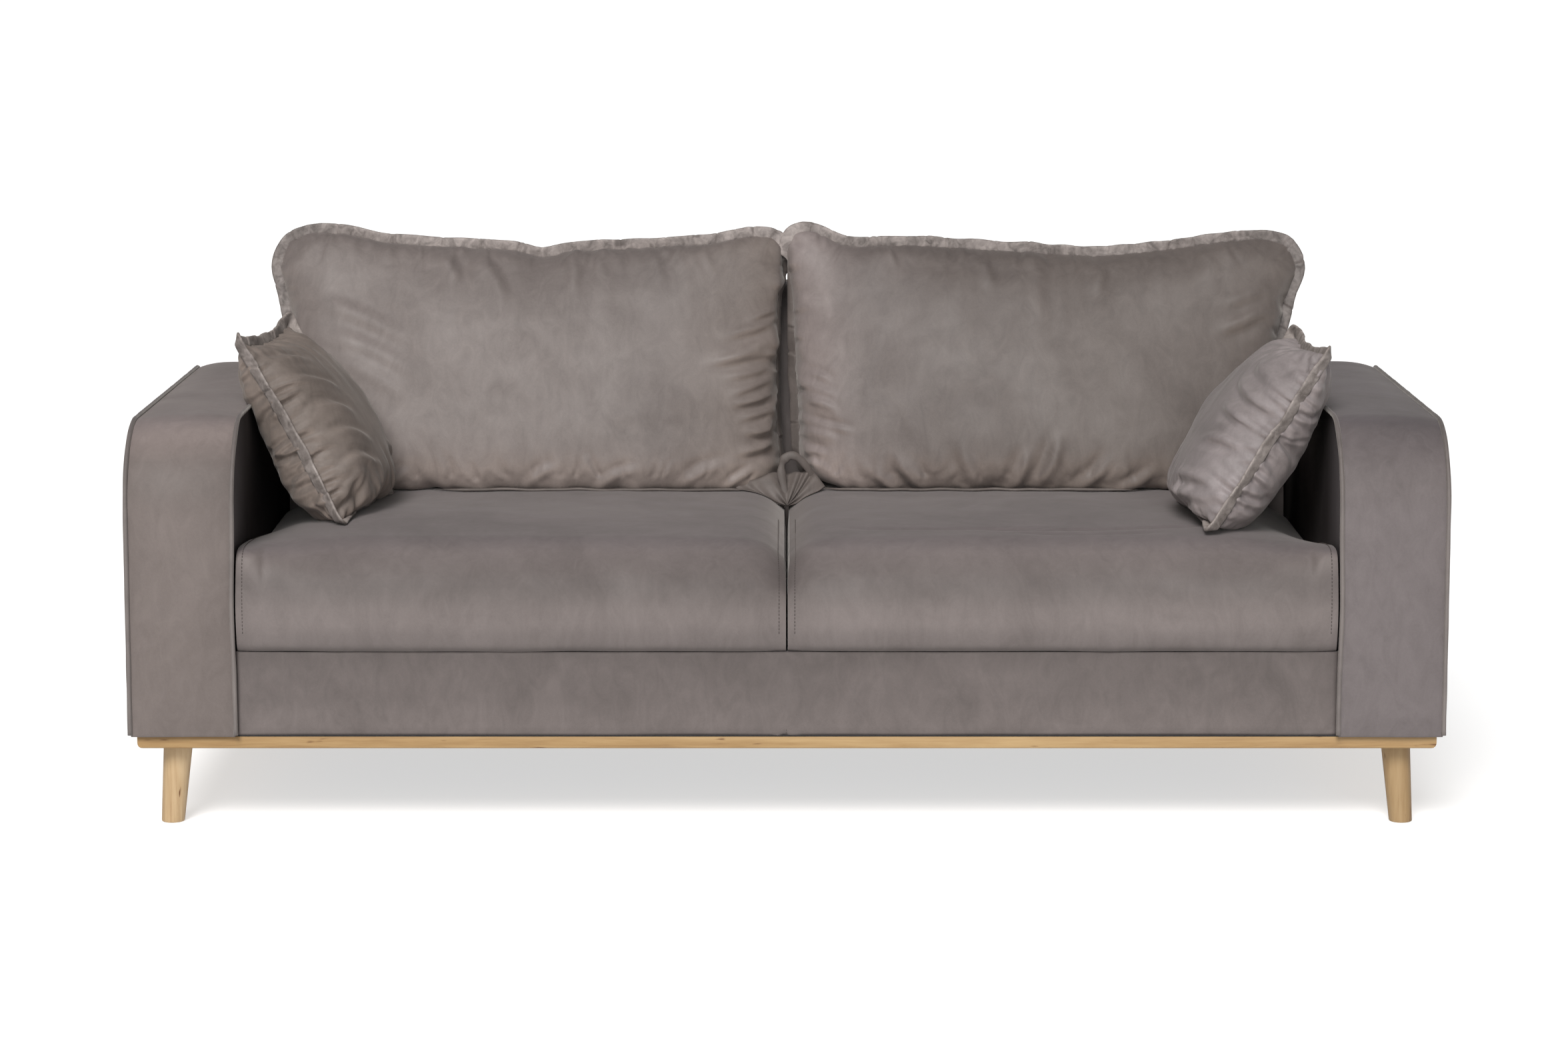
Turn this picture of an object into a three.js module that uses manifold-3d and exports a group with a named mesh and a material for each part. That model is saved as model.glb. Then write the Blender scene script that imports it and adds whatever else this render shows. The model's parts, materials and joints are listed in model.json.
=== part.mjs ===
// Two-seat sofa on four splayed wooden legs: plinth, timber seat frame on zigzag springs,
// two upholstered arms with piped edges, a sprung back and six loose cushions.
// Millimetres. +X is to the right as the sofa is looked at, +Y to the rear, +Z up.
// The origin is on the floor, under the middle of the sofa.

import * as THREE from 'three';
import { mergeVertices } from 'three/addons/utils/BufferGeometryUtils.js';
import Module from 'manifold-3d';

// ---- driving dimensions -------------------------------------------------------------------

const WIDTH = 2100;
const DEPTH = 900;
const GAP = 0.3; // between pieces that rest on each other
const SIDES = [['left', -1], ['right', 1]];

const LEG_HEIGHT = 130;
const LEG_TOP_R = 23.5;
const LEG_FOOT_R = 18.5;
const LEG_INSET_X = 70; // top centre of a leg, in from the arm's side
const LEG_INSET_Y = 72; // and in from the front or the rear
const LEG_SPLAY = 11; // how far the foot stands out sideways from the leg's top
const BOLT_R = 4;
const BOLT_IN_LEG = 34;

const PLINTH_INSET_X = 12;
const PLINTH_INSET_Y = 15;
const PLINTH_THICK = 19.8;
const PLINTH_BOARD = 112; // width of each flat board
const PLINTH_ROUND = 9;

const SHEET_THICK = 1.5; // dust cover
const SHEET_END_INSET = 6;
const SHEET_SIDE_INSET = 14;
const RAIL_THICK = 25;
const RAIL_TOP = 268;
const DECK_THICK = 15;

const ARM_WIDTH = 174; // over the piping
const ARM_TOP = 650;
const ARM_FRONT_R = 132;
const ARM_REAR_R = 18;
const PIPING_R = 3.5;
const SEAM_CLEARANCE = 1; // between the piping and the chamfered edge it lies along
const COVER_THICK = 4;
const BOARD_THICK = 12;
const ARM_FOAM = 30;
const SLAT_THICK = 18;

const BACK_TOP = 800;
const BACK_FOOT_Y = 290; // front face of the back where it meets the seat deck
const BACK_HEAD_Y = 355; // and at its top
const BACK_COVER = 3;
const BACK_FOAM = 22;
const BACK_ROUND = 24; // of the top front edge
const WEB_THICK = 2;
const WEB_WIDTH = 60;
const POST_REAR_Y = 425;
const POST_THICK = 30;
const TOP_RAIL_INSET = 10; // from the rear
const BOTTOM_RAIL_HEIGHT = 90;
const BACK_END_CLEARANCE = 4; // between the back's frame and its cover's ends

const SPRING_WIRE_R = 1.9;
const SPRING_COLUMNS = [-730, -440, -150, 150, 440, 730];

const SEAT_TOP = 462;
const SEAT_ROUND_TOP = 85;
const SEAT_ROUND_FOOT = 26;
const SEAT_SIDE_ROUND = 10;

// ---- levels and planes that follow --------------------------------------------------------

const PLINTH_BOTTOM = LEG_HEIGHT + GAP;
const PLINTH_TOP = PLINTH_BOTTOM + PLINTH_THICK;
const DUST_BOTTOM = PLINTH_TOP + GAP;
const FRAME_BOTTOM = DUST_BOTTOM + SHEET_THICK + GAP;
const SPRING_Z = RAIL_TOP + GAP + SPRING_WIRE_R;
const DECK_BOTTOM = SPRING_Z + SPRING_WIRE_R + GAP;
const DECK_TOP = DECK_BOTTOM + DECK_THICK;
const SEAT_BOTTOM = DECK_TOP + 2 * GAP;

const INNER_X = WIDTH / 2 - ARM_WIDTH - 0.5; // half the clear width between the arms
const FRONT_Y = -DEPTH / 2;
const REAR_Y = DEPTH / 2;
const PANEL_Y = FRONT_Y + 12; // face of the front panel, set back from the arms
const BACK_SLOPE = (BACK_HEAD_Y - BACK_FOOT_Y) / (BACK_TOP - DECK_TOP);
const BACK_LEAN = Math.atan(BACK_SLOPE);

// ---- materials ----------------------------------------------------------------------------

const LOOKS = {
  velvet: [0x877d79, 0.85, 0],
  cushion_velvet: [0x968b84, 0.75, 0],
  beech: [0xd2b384, 0.5, 0],
  pine: [0xcaa777, 0.7, 0],
  foam: [0xe6dfc6, 0.95, 0],
  webbing: [0x3a3a3d, 0.9, 0],
  dust_sheet: [0x232325, 0.95, 0],
  steel: [0xa8abb0, 0.35, 1],
};

const sofa = new THREE.Group();

function add(name, geometry, look, place) {
  const [color, roughness, metalness] = LOOKS[look];
  const mesh = new THREE.Mesh(geometry, new THREE.MeshStandardMaterial({ color, roughness, metalness }));
  mesh.name = name;
  if (place) {
    mesh.position.set(...place);
  }
  sofa.add(mesh);
  return mesh;
}

// ---- shape helpers ------------------------------------------------------------------------

const wasm = await Module();
wasm.setup();

function toSolid(geometry) {
  const bare = geometry.clone();
  bare.deleteAttribute('normal');
  bare.deleteAttribute('uv');
  const merged = mergeVertices(bare, 1e-4);
  return new wasm.Manifold(new wasm.Mesh({
    numProp: 3,
    vertProperties: new Float32Array(merged.attributes.position.array),
    triVerts: new Uint32Array(merged.index.array),
  }));
}

function cut(geometry, ...tools) {
  let solid = toSolid(geometry);
  for (const tool of tools) {
    solid = solid.subtract(toSolid(tool));
  }
  const { vertProperties, triVerts } = solid.getMesh();
  const result = new THREE.BufferGeometry();
  result.setAttribute('position', new THREE.BufferAttribute(vertProperties, 3));
  result.setIndex(new THREE.BufferAttribute(triVerts, 1));
  return result;
}

// A box given by its two corners.
function block([x0, y0, z0], [x1, y1, z1]) {
  const box = new THREE.BoxGeometry(x1 - x0, y1 - y0, z1 - z0);
  return box.translate((x0 + x1) / 2, (y0 + y1) / 2, (z0 + z1) / 2);
}

// Turns a shape drawn in the side view (its x is the row's Y, its y is Z) into a solid along X.
const SIDE_VIEW = new THREE.Matrix4().makeBasis(
  new THREE.Vector3(0, 1, 0),
  new THREE.Vector3(0, 0, 1),
  new THREE.Vector3(1, 0, 0),
);

function extrudeSide(shape, x0, x1, bevel = 0, bevelSegments = 1, curveSegments = 10) {
  const solid = new THREE.ExtrudeGeometry(shape, {
    depth: x1 - x0 - 2 * bevel,
    bevelEnabled: bevel > 0,
    bevelThickness: bevel,
    bevelSize: bevel,
    bevelOffset: -bevel,
    bevelSegments,
    curveSegments,
  });
  return solid.translate(0, 0, x0 + bevel).applyMatrix4(SIDE_VIEW);
}

function polygon(points) {
  return new THREE.Shape(points.map(([x, y]) => new THREE.Vector2(x, y)));
}

function cylinderZ(radius, z0, z1, segments = 12) {
  const round = new THREE.CylinderGeometry(radius, radius, z1 - z0, segments);
  return round.rotateX(Math.PI / 2).translate(0, 0, (z0 + z1) / 2);
}

// A round tube through points that lie in a plane.
function tube(points, radius, steps, sides) {
  const section = new THREE.Shape().absarc(0, 0, radius, 0, 2 * Math.PI);
  return new THREE.ExtrudeGeometry(section, {
    extrudePath: new THREE.CatmullRomCurve3(points, false, 'centripetal'),
    steps,
    curveSegments: sides,
    bevelEnabled: false,
  });
}

// ---- legs and their hanger bolts ----------------------------------------------------------

function leg(side) {
  const profile = [[0, 0], [LEG_FOOT_R, 0], [LEG_TOP_R, LEG_HEIGHT], [0, LEG_HEIGHT]];
  const turned = new THREE.LatheGeometry(profile.map(([r, z]) => new THREE.Vector2(r, z)), 24);
  turned.rotateX(Math.PI / 2);
  const splay = -side * LEG_SPLAY / LEG_HEIGHT;
  turned.translate(0, 0, -LEG_HEIGHT);
  turned.applyMatrix4(new THREE.Matrix4().set(1, 0, splay, 0, 0, 1, 0, 0, 0, 0, 1, 0, 0, 0, 0, 1));
  turned.translate(0, 0, LEG_HEIGHT);
  return cut(turned, cylinderZ(BOLT_R + GAP, LEG_HEIGHT - BOLT_IN_LEG, LEG_HEIGHT + 1));
}

const legX = WIDTH / 2 - LEG_INSET_X;
const legY = DEPTH / 2 - LEG_INSET_Y;
const ENDS = [['front', -1], ['rear', 1]];

for (const [end, endSign] of ENDS) {
  for (const [hand, side] of SIDES) {
    const place = [side * legX, endSign * legY, 0];
    add(`leg_${end}_${hand}`, leg(side), 'beech', place);
    const bolt = cylinderZ(BOLT_R, LEG_HEIGHT - BOLT_IN_LEG + 1, PLINTH_TOP - 1, 12);
    add(`hanger_bolt_${end}_${hand}`, bolt, 'steel', place);
  }
}

// ---- plinth: four flat boards under the upholstery ----------------------------------------

const plinthX = WIDTH / 2 - PLINTH_INSET_X;
const plinthY = DEPTH / 2 - PLINTH_INSET_Y;

// Outline of a board seen end on, with both lower corners rounded.
function plinthOutline(halfLength) {
  const shape = new THREE.Shape();
  shape.moveTo(-halfLength, PLINTH_TOP);
  shape.lineTo(-halfLength, PLINTH_BOTTOM + PLINTH_ROUND);
  shape.absarc(-halfLength + PLINTH_ROUND, PLINTH_BOTTOM + PLINTH_ROUND, PLINTH_ROUND, Math.PI, 1.5 * Math.PI);
  shape.lineTo(halfLength - PLINTH_ROUND, PLINTH_BOTTOM);
  shape.absarc(halfLength - PLINTH_ROUND, PLINTH_BOTTOM + PLINTH_ROUND, PLINTH_ROUND, 1.5 * Math.PI, 2 * Math.PI);
  shape.lineTo(halfLength, PLINTH_TOP);
  return shape;
}

for (const [end, endSign] of ENDS) {
  const board = new THREE.ExtrudeGeometry(plinthOutline(plinthX), {
    depth: PLINTH_BOARD,
    bevelEnabled: false,
    curveSegments: 5,
  });
  board.rotateX(Math.PI / 2);
  board.translate(0, endSign > 0 ? plinthY : PLINTH_BOARD - plinthY, 0);
  const holes = SIDES.map(([, side]) => {
    const hole = cylinderZ(BOLT_R + GAP, PLINTH_BOTTOM - 1, PLINTH_TOP + 1);
    return hole.translate(side * legX, endSign * legY, 0);
  });
  add(`plinth_${end}`, cut(board, ...holes), 'beech');
}

for (const [hand, side] of SIDES) {
  const length = plinthY - PLINTH_BOARD - GAP;
  const shape = new THREE.Shape();
  const outer = plinthX;
  shape.moveTo(outer - PLINTH_BOARD, PLINTH_BOTTOM);
  shape.lineTo(outer - PLINTH_ROUND, PLINTH_BOTTOM);
  shape.absarc(outer - PLINTH_ROUND, PLINTH_BOTTOM + PLINTH_ROUND, PLINTH_ROUND, 1.5 * Math.PI, 2 * Math.PI);
  shape.lineTo(outer, PLINTH_TOP);
  shape.lineTo(outer - PLINTH_BOARD, PLINTH_TOP);
  const board = new THREE.ExtrudeGeometry(shape, { depth: 2 * length, bevelEnabled: false, curveSegments: 5 });
  board.rotateX(Math.PI / 2).translate(0, length, 0);
  if (side < 0) {
    board.rotateZ(Math.PI);
  }
  add(`plinth_${hand}`, board, 'beech');
}

// ---- seat frame ---------------------------------------------------------------------------

const coverX = WIDTH / 2 - PIPING_R;
add('dust_cover', block(
  [SHEET_END_INSET - coverX, FRONT_Y + SHEET_SIDE_INSET, DUST_BOTTOM],
  [coverX - SHEET_END_INSET, REAR_Y - SHEET_SIDE_INSET, DUST_BOTTOM + SHEET_THICK],
), 'dust_sheet');

const panelBackY = PANEL_Y + BOARD_THICK;
const railFrontY = panelBackY + GAP;
const railRearY = BACK_FOOT_Y - 3 - RAIL_THICK;
const railX = INNER_X - 1;

add('front_panel', block([-INNER_X, PANEL_Y, FRAME_BOTTOM], [INNER_X, panelBackY, DECK_TOP]), 'velvet');
add('seat_rail_front', block([-railX, railFrontY, FRAME_BOTTOM], [railX, railFrontY + RAIL_THICK, RAIL_TOP]), 'pine');
add('seat_rail_rear', block([-railX, railRearY, FRAME_BOTTOM], [railX, railRearY + RAIL_THICK, RAIL_TOP]), 'pine');
add('seat_rail_centre', block(
  [-RAIL_THICK / 2, railFrontY + RAIL_THICK + GAP, FRAME_BOTTOM],
  [RAIL_THICK / 2, railRearY - GAP, RAIL_TOP],
), 'pine');

const BLOCK_LEG = 62;
for (const [hand, side] of SIDES) {
  const triangle = polygon([[0, 0], [BLOCK_LEG, 0], [0, BLOCK_LEG]]);
  const wedge = new THREE.ExtrudeGeometry(triangle, { depth: RAIL_TOP - FRAME_BOTTOM, bevelEnabled: false });
  if (side > 0) {
    wedge.rotateZ(Math.PI / 2);
  }
  add(`corner_block_${hand}`, wedge, 'pine', [side * railX, railFrontY + RAIL_THICK + GAP, FRAME_BOTTOM]);
}

// A flat snake of wire from the front rail to the rear one.
const SPRING_LOOPS = 13;
const SPRING_HALF_WIDTH = 24;

function zigzagSpring() {
  const start = railFrontY + RAIL_THICK / 2;
  const pitch = (railRearY + RAIL_THICK / 2 - start) / SPRING_LOOPS;
  const points = [];
  for (let i = 0; i <= SPRING_LOOPS; i += 1) {
    const hand = i % 2 ? 1 : -1;
    const y = start + i * pitch;
    points.push(new THREE.Vector3(-hand * SPRING_HALF_WIDTH * 0.8, y - pitch * 0.12, 0));
    points.push(new THREE.Vector3(hand * SPRING_HALF_WIDTH * 0.8, y + pitch * 0.12, 0));
    points.push(new THREE.Vector3(hand * SPRING_HALF_WIDTH, y + pitch * 0.5, 0));
  }
  points.pop();
  return tube(points, SPRING_WIRE_R, 5 * SPRING_LOOPS + 4, 2);
}

SPRING_COLUMNS.forEach((x, index) => {
  add(`zigzag_spring_${index + 1}`, zigzagSpring(), 'steel', [x, 0, SPRING_Z]);
});

add('deck_pad', block(
  [-INNER_X, panelBackY + GAP, DECK_BOTTOM],
  [INNER_X, BACK_FOOT_Y - 3 * GAP, DECK_TOP],
), 'foam');

// ---- back ---------------------------------------------------------------------------------

// Y of a plane parallel to the back's front face, set in by so many millimetres.
function backPlane(z, inset) {
  return BACK_FOOT_Y + inset + (z - DECK_TOP) * BACK_SLOPE;
}

// A strip of the side view between two such planes.
function backLayer(inset, thick, z0, z1) {
  return polygon([
    [backPlane(z0, inset), z0],
    [backPlane(z0, inset + thick), z0],
    [backPlane(z1, inset + thick), z1],
    [backPlane(z1, inset), z1],
  ]);
}

const padInset = BACK_COVER + GAP;
const webInset = padInset + BACK_FOAM + GAP;
const postInset = webInset + WEB_THICK + GAP;
const innerTop = BACK_TOP - BACK_COVER - GAP;
const topRailBottom = innerTop - SLAT_THICK;
const backX = INNER_X - BACK_END_CLEARANCE;

function backPost(x) {
  const top = topRailBottom - GAP;
  const foot = backPlane(DECK_TOP, postInset);
  const outline = polygon([
    [foot, FRAME_BOTTOM],
    [POST_REAR_Y, FRAME_BOTTOM],
    [POST_REAR_Y, top],
    [backPlane(top, postInset), top],
    [foot, DECK_TOP],
  ]);
  return extrudeSide(outline, x - POST_THICK / 2, x + POST_THICK / 2);
}

const endPostX = backX - POST_THICK / 2;
add('back_post_left', backPost(-endPostX), 'pine');
add('back_post_centre', backPost(0), 'pine');
add('back_post_right', backPost(endPostX), 'pine');

add('back_top_rail', extrudeSide(polygon([
  [backPlane(topRailBottom, postInset), topRailBottom],
  [REAR_Y - TOP_RAIL_INSET, topRailBottom],
  [REAR_Y - TOP_RAIL_INSET, innerTop],
  [backPlane(innerTop, postInset), innerTop],
]), -backX, backX), 'pine');

add('back_bottom_rail', block(
  [-backX, POST_REAR_Y + GAP, FRAME_BOTTOM],
  [backX, POST_REAR_Y + SLAT_THICK, FRAME_BOTTOM + BOTTOM_RAIL_HEIGHT],
), 'pine');

for (const [name, z] of [['lower', 420], ['upper', 600]]) {
  const strap = backLayer(webInset, WEB_THICK, z, z + WEB_WIDTH);
  add(`back_webbing_${name}`, extrudeSide(strap, -backX, backX), 'webbing');
}

const backPadOutline = backLayer(padInset, BACK_FOAM, DECK_TOP, BACK_TOP - BACK_ROUND);
add('back_pad', extrudeSide(backPadOutline, -backX, backX), 'foam');

// Side view of the back, set in evenly: its sloping face, round top edge and upright rear.
function backOutline(inset, z0, z1, rear) {
  const radius = BACK_ROUND - inset;
  const centreZ = BACK_TOP - BACK_ROUND;
  const centreY = backPlane(centreZ, 0) + BACK_ROUND / Math.cos(BACK_LEAN);
  const shape = new THREE.Shape();
  shape.moveTo(rear, z0);
  shape.lineTo(rear, z1);
  shape.absarc(centreY, centreZ, radius, Math.PI / 2, Math.PI - BACK_LEAN, false);
  shape.lineTo(backPlane(z0, inset), z0);
  return shape;
}

// The front cover is a bag over the front, the top and both ends, open at the rear and below.
const coverRearY = REAR_Y - BACK_COVER - GAP;
const bagOuter = extrudeSide(backOutline(0, DECK_TOP, BACK_TOP, coverRearY), -INNER_X, INNER_X, 0, 1, 6);
const bagInner = extrudeSide(
  backOutline(BACK_COVER, DECK_TOP - 5, BACK_TOP - BACK_COVER, REAR_Y),
  BACK_COVER - INNER_X,
  INNER_X - BACK_COVER,
  0,
  1,
  6,
);
add('back_cover_front', cut(bagOuter, bagInner), 'velvet');
add('back_cover_rear', block(
  [-INNER_X - PIPING_R, REAR_Y - BACK_COVER, FRAME_BOTTOM],
  [INNER_X + PIPING_R, REAR_Y, BACK_TOP],
), 'velvet');

// ---- arms ---------------------------------------------------------------------------------

// Side view of an arm, set in evenly from the outermost faces of the piping.
function armOutline(inset, bottom) {
  const front = FRONT_Y + inset;
  const rear = REAR_Y - inset;
  const top = ARM_TOP - inset;
  const frontR = ARM_FRONT_R - inset;
  const rearR = Math.max(ARM_REAR_R - inset, 2);
  const shape = new THREE.Shape();
  shape.moveTo(rear, bottom);
  shape.lineTo(rear, top - rearR);
  shape.absarc(rear - rearR, top - rearR, rearR, 0, Math.PI / 2);
  shape.lineTo(front + frontR, top);
  shape.absarc(front + frontR, top - frontR, frontR, Math.PI / 2, Math.PI);
  shape.lineTo(front, bottom);
  return shape;
}

// The foam wraps the front and the top of the arm's box.
function armFoamOutline(outer, inner, bottom) {
  const front = FRONT_Y + outer;
  const rear = REAR_Y - outer - ARM_REAR_R;
  const radius = ARM_FRONT_R - outer;
  const innerRadius = ARM_FRONT_R - inner;
  const centreZ = ARM_TOP - ARM_FRONT_R;
  const centreY = FRONT_Y + ARM_FRONT_R;
  const shape = new THREE.Shape();
  shape.moveTo(front, bottom);
  shape.lineTo(front + inner - outer, bottom);
  shape.absarc(centreY, centreZ, innerRadius, Math.PI, Math.PI / 2, true);
  shape.lineTo(rear, ARM_TOP - inner);
  shape.lineTo(rear, ARM_TOP - outer);
  shape.absarc(centreY, centreZ, radius, Math.PI / 2, Math.PI, false);
  return shape;
}

// The piping runs up the front, over the round corner and along the top to the rear corner.
function pipingRoute() {
  const front = FRONT_Y + PIPING_R;
  const top = ARM_TOP - PIPING_R;
  const radius = ARM_FRONT_R - PIPING_R;
  const edge = new THREE.Path();
  edge.moveTo(front, FRAME_BOTTOM);
  edge.lineTo(front, top - radius);
  edge.absarc(front + radius, top - radius, radius, Math.PI, Math.PI / 2, true);
  edge.lineTo(REAR_Y - ARM_REAR_R, top);
  return edge.getPoints(8).map((point) => new THREE.Vector3(0, point.x, point.y));
}

// An arm is the same left and right about its own middle plane, so its pieces are drawn round x = 0.
const armMiddleX = (WIDTH - ARM_WIDTH) / 2;
const coverHalf = ARM_WIDTH / 2 - PIPING_R;
const cavityHalf = coverHalf - COVER_THICK;
const foamHalf = cavityHalf - GAP;
const slatHalf = foamHalf - BOARD_THICK - GAP;
const cavityInset = PIPING_R + COVER_THICK;
const foamInset = cavityInset + GAP;
const boardInset = foamInset + ARM_FOAM + GAP;
const armBottom = FRAME_BOTTOM + GAP;

function armCover() {
  const seamBevel = Math.SQRT2 * (PIPING_R + SEAM_CLEARANCE);
  const shell = extrudeSide(armOutline(PIPING_R, FRAME_BOTTOM), -coverHalf, coverHalf, seamBevel);
  const cavity = extrudeSide(armOutline(cavityInset, FRAME_BOTTOM - 5), -cavityHalf, cavityHalf);
  return cut(shell, cavity);
}

function armSlat(where) {
  const top = ARM_TOP - boardInset;
  const front = FRONT_Y + boardInset;
  const round = ARM_FRONT_R - boardInset;
  if (where === 'front') {
    return block([-slatHalf, front, armBottom], [slatHalf, front + SLAT_THICK, top - round]);
  }
  return block([-slatHalf, front + round, top - SLAT_THICK], [slatHalf, REAR_Y - boardInset - 3, top]);
}

function buildArm(hand, side) {
  const middle = [side * armMiddleX, 0, 0];
  add(`arm_cover_${hand}`, armCover(), 'velvet', middle);
  const foam = armFoamOutline(foamInset, foamInset + ARM_FOAM, armBottom);
  add(`arm_foam_${hand}`, extrudeSide(foam, -foamHalf, foamHalf), 'foam', middle);
  add(`arm_slat_front_${hand}`, armSlat('front'), 'pine', middle);
  add(`arm_slat_top_${hand}`, armSlat('top'), 'pine', middle);

  const half = BOARD_THICK / 2;
  for (const [edge, out] of [['inner', -side], ['outer', side]]) {
    const boardX = side * armMiddleX + out * (foamHalf - half);
    const board = extrudeSide(armOutline(boardInset, armBottom), -half, half);
    add(`arm_board_${edge}_${hand}`, board, 'pine', [boardX, 0, 0]);
    const piping = tube(pipingRoute(), PIPING_R, 48, 3);
    add(`arm_piping_${edge}_${hand}`, piping, 'velvet', [side * armMiddleX + out * coverHalf, 0, 0]);
  }
}

for (const [hand, side] of SIDES) {
  buildArm(hand, side);
}

// ---- loose cushions -----------------------------------------------------------------------

// A crowned pillow in the XZ plane: a finely divided box whose faces swell towards the middle.
function pillow({ width, height, rim, front, rear, pull, columns, rows, foot = 0 }) {
  const box = new THREE.BoxGeometry(width, 2 * rim, height, columns, 1, rows);
  const position = box.attributes.position;
  for (let i = 0; i < position.count; i += 1) {
    const s = position.getX(i) / (width / 2);
    const t = position.getZ(i) / (height / 2);
    const across = Math.sqrt(1 - s ** 4);
    const up = t < 0 ? Math.sqrt(1 - (1 - foot ** 2) * t ** 4) : Math.sqrt(1 - t ** 4);
    const bulge = across * up;
    const toFront = position.getY(i) < 0;
    position.setXYZ(
      i,
      position.getX(i) * (1 - pull * (1 - t * t)),
      toFront ? -rim - front * bulge : rim + rear * bulge,
      position.getZ(i) * (1 - pull * (1 - s * s)),
    );
  }
  return box;
}

function seatCushion() {
  const front = FRONT_Y + 1;
  const rear = BACK_FOOT_Y - 3;
  const shape = new THREE.Shape();
  shape.moveTo(front + SEAT_ROUND_FOOT, SEAT_BOTTOM);
  shape.lineTo(rear, SEAT_BOTTOM);
  shape.lineTo(rear, SEAT_TOP);
  shape.absarc(front + SEAT_ROUND_TOP, SEAT_TOP - SEAT_ROUND_TOP, SEAT_ROUND_TOP, Math.PI / 2, Math.PI);
  shape.absarc(front + SEAT_ROUND_FOOT, SEAT_BOTTOM + SEAT_ROUND_FOOT, SEAT_ROUND_FOOT, Math.PI, 1.5 * Math.PI);
  const half = (INNER_X - 2) / 2;
  return extrudeSide(shape, -half, half, SEAT_SIDE_ROUND, 2, 8);
}

const BACK_CUSHION = {
  width: 866,
  height: 440,
  rim: 6,
  front: 90,
  rear: 78,
  pull: 0.02,
  columns: 14,
  rows: 8,
  foot: 0.55,
};
const BACK_CUSHION_FOOT = 472;

const SCATTER = {
  width: 344,
  height: 344,
  rim: 5,
  front: 62,
  rear: 34,
  pull: 0.05,
  columns: 10,
  rows: 10,
};
// Each scatter cushion leans out over its arm and turns a little towards the back, by these degrees.
const SCATTER_PLACES = {
  left: { middle: [-800, -79, 628], lean: 29.5, yaw: 5 },
  right: { middle: [759, -179, 625], lean: 33, yaw: 3 },
};

for (const [hand, side] of SIDES) {
  add(`seat_cushion_${hand}`, seatCushion(), 'velvet', [side * (INNER_X + 1) / 2, 0, 0]);

  const backCushion = pillow(BACK_CUSHION);
  backCushion.rotateX(-BACK_LEAN);
  const middleZ = BACK_CUSHION_FOOT + BACK_CUSHION.height / 2;
  const middleY = backPlane(middleZ, 0) - (BACK_CUSHION.rim + BACK_CUSHION.rear + 4) / Math.cos(BACK_LEAN);
  add(`back_cushion_${hand}`, backCushion, 'cushion_velvet', [side * (BACK_CUSHION.width / 2 + 2.5), middleY, middleZ]);

  const { middle, lean, yaw } = SCATTER_PLACES[hand];
  const scatter = pillow(SCATTER);
  scatter.rotateZ(-side * Math.PI / 2);
  scatter.rotateY(side * THREE.MathUtils.degToRad(lean));
  scatter.rotateZ(side * THREE.MathUtils.degToRad(yaw));
  add(`scatter_cushion_${hand}`, scatter, 'cushion_velvet', middle);
}

export default sofa;
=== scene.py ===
"""Looks of the two-seat velvet sofa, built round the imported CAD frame. Metres, +X right, +Y rear, +Z up."""

import json
import math

import bmesh
import bpy
import numpy as np
from mathutils import Matrix, Vector


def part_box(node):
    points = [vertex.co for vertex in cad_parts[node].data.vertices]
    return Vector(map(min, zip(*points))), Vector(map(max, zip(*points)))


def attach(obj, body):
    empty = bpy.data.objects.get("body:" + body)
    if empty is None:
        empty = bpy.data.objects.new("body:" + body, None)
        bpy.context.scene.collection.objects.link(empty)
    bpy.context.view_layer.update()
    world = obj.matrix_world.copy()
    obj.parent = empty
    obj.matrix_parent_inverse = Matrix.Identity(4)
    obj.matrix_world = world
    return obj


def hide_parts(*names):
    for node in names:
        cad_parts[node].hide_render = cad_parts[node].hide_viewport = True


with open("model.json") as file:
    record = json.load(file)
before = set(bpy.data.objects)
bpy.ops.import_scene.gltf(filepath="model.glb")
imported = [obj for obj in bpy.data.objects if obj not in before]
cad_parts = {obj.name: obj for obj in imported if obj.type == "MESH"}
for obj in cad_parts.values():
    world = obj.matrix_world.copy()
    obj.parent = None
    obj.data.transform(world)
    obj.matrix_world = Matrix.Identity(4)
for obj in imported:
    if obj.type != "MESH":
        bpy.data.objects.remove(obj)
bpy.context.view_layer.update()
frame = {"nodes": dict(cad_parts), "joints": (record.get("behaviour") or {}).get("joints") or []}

MM = 0.001
SIDES = (("left", -1), ("right", 1))


# ---------------------------------------------------------------- camera, floor and light

def put(name, data):
    """Makes an object of a mesh, a light or a camera, and puts it in the scene."""
    obj = bpy.data.objects.new(name, data)
    bpy.context.scene.collection.objects.link(obj)
    return obj


def build_camera():
    """Straight in front, seven metres off and 1.5 metres up, looking slightly down."""
    data = bpy.data.cameras.new("camera")
    data.sensor_width = 36.0
    data.lens = 98.9
    data.clip_end = 400.0
    looking_down = math.radians(8.45)
    camera = put("camera", data)
    camera.location = (-0.0046, -7.19, 1.499)
    camera.rotation_euler = (math.pi / 2 - looking_down, 0, 0)
    bpy.context.scene.camera = camera


def build_stage():
    """A plain floor that reaches far past the picture."""
    floor_mesh = bpy.data.meshes.new("floor")
    reach = 90.0
    floor_mesh.from_pydata(
        [(-reach, -reach, 0), (reach, -reach, 0), (reach, reach, 0), (-reach, reach, 0)],
        [],
        [(0, 1, 2, 3)],
    )
    floor_mesh.materials.append(floor_material())
    put("floor", floor_mesh)


def add_sun(name, strength, angle, direction, colour=(1, 1, 1)):
    """A soft light from far away; direction points from the sofa to the light."""
    data = bpy.data.lights.new(name, "SUN")
    data.energy = strength
    data.angle = math.radians(angle)
    data.color = colour
    put(name, data).rotation_euler = Vector(direction).to_track_quat("Z", "Y").to_euler()


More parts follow.
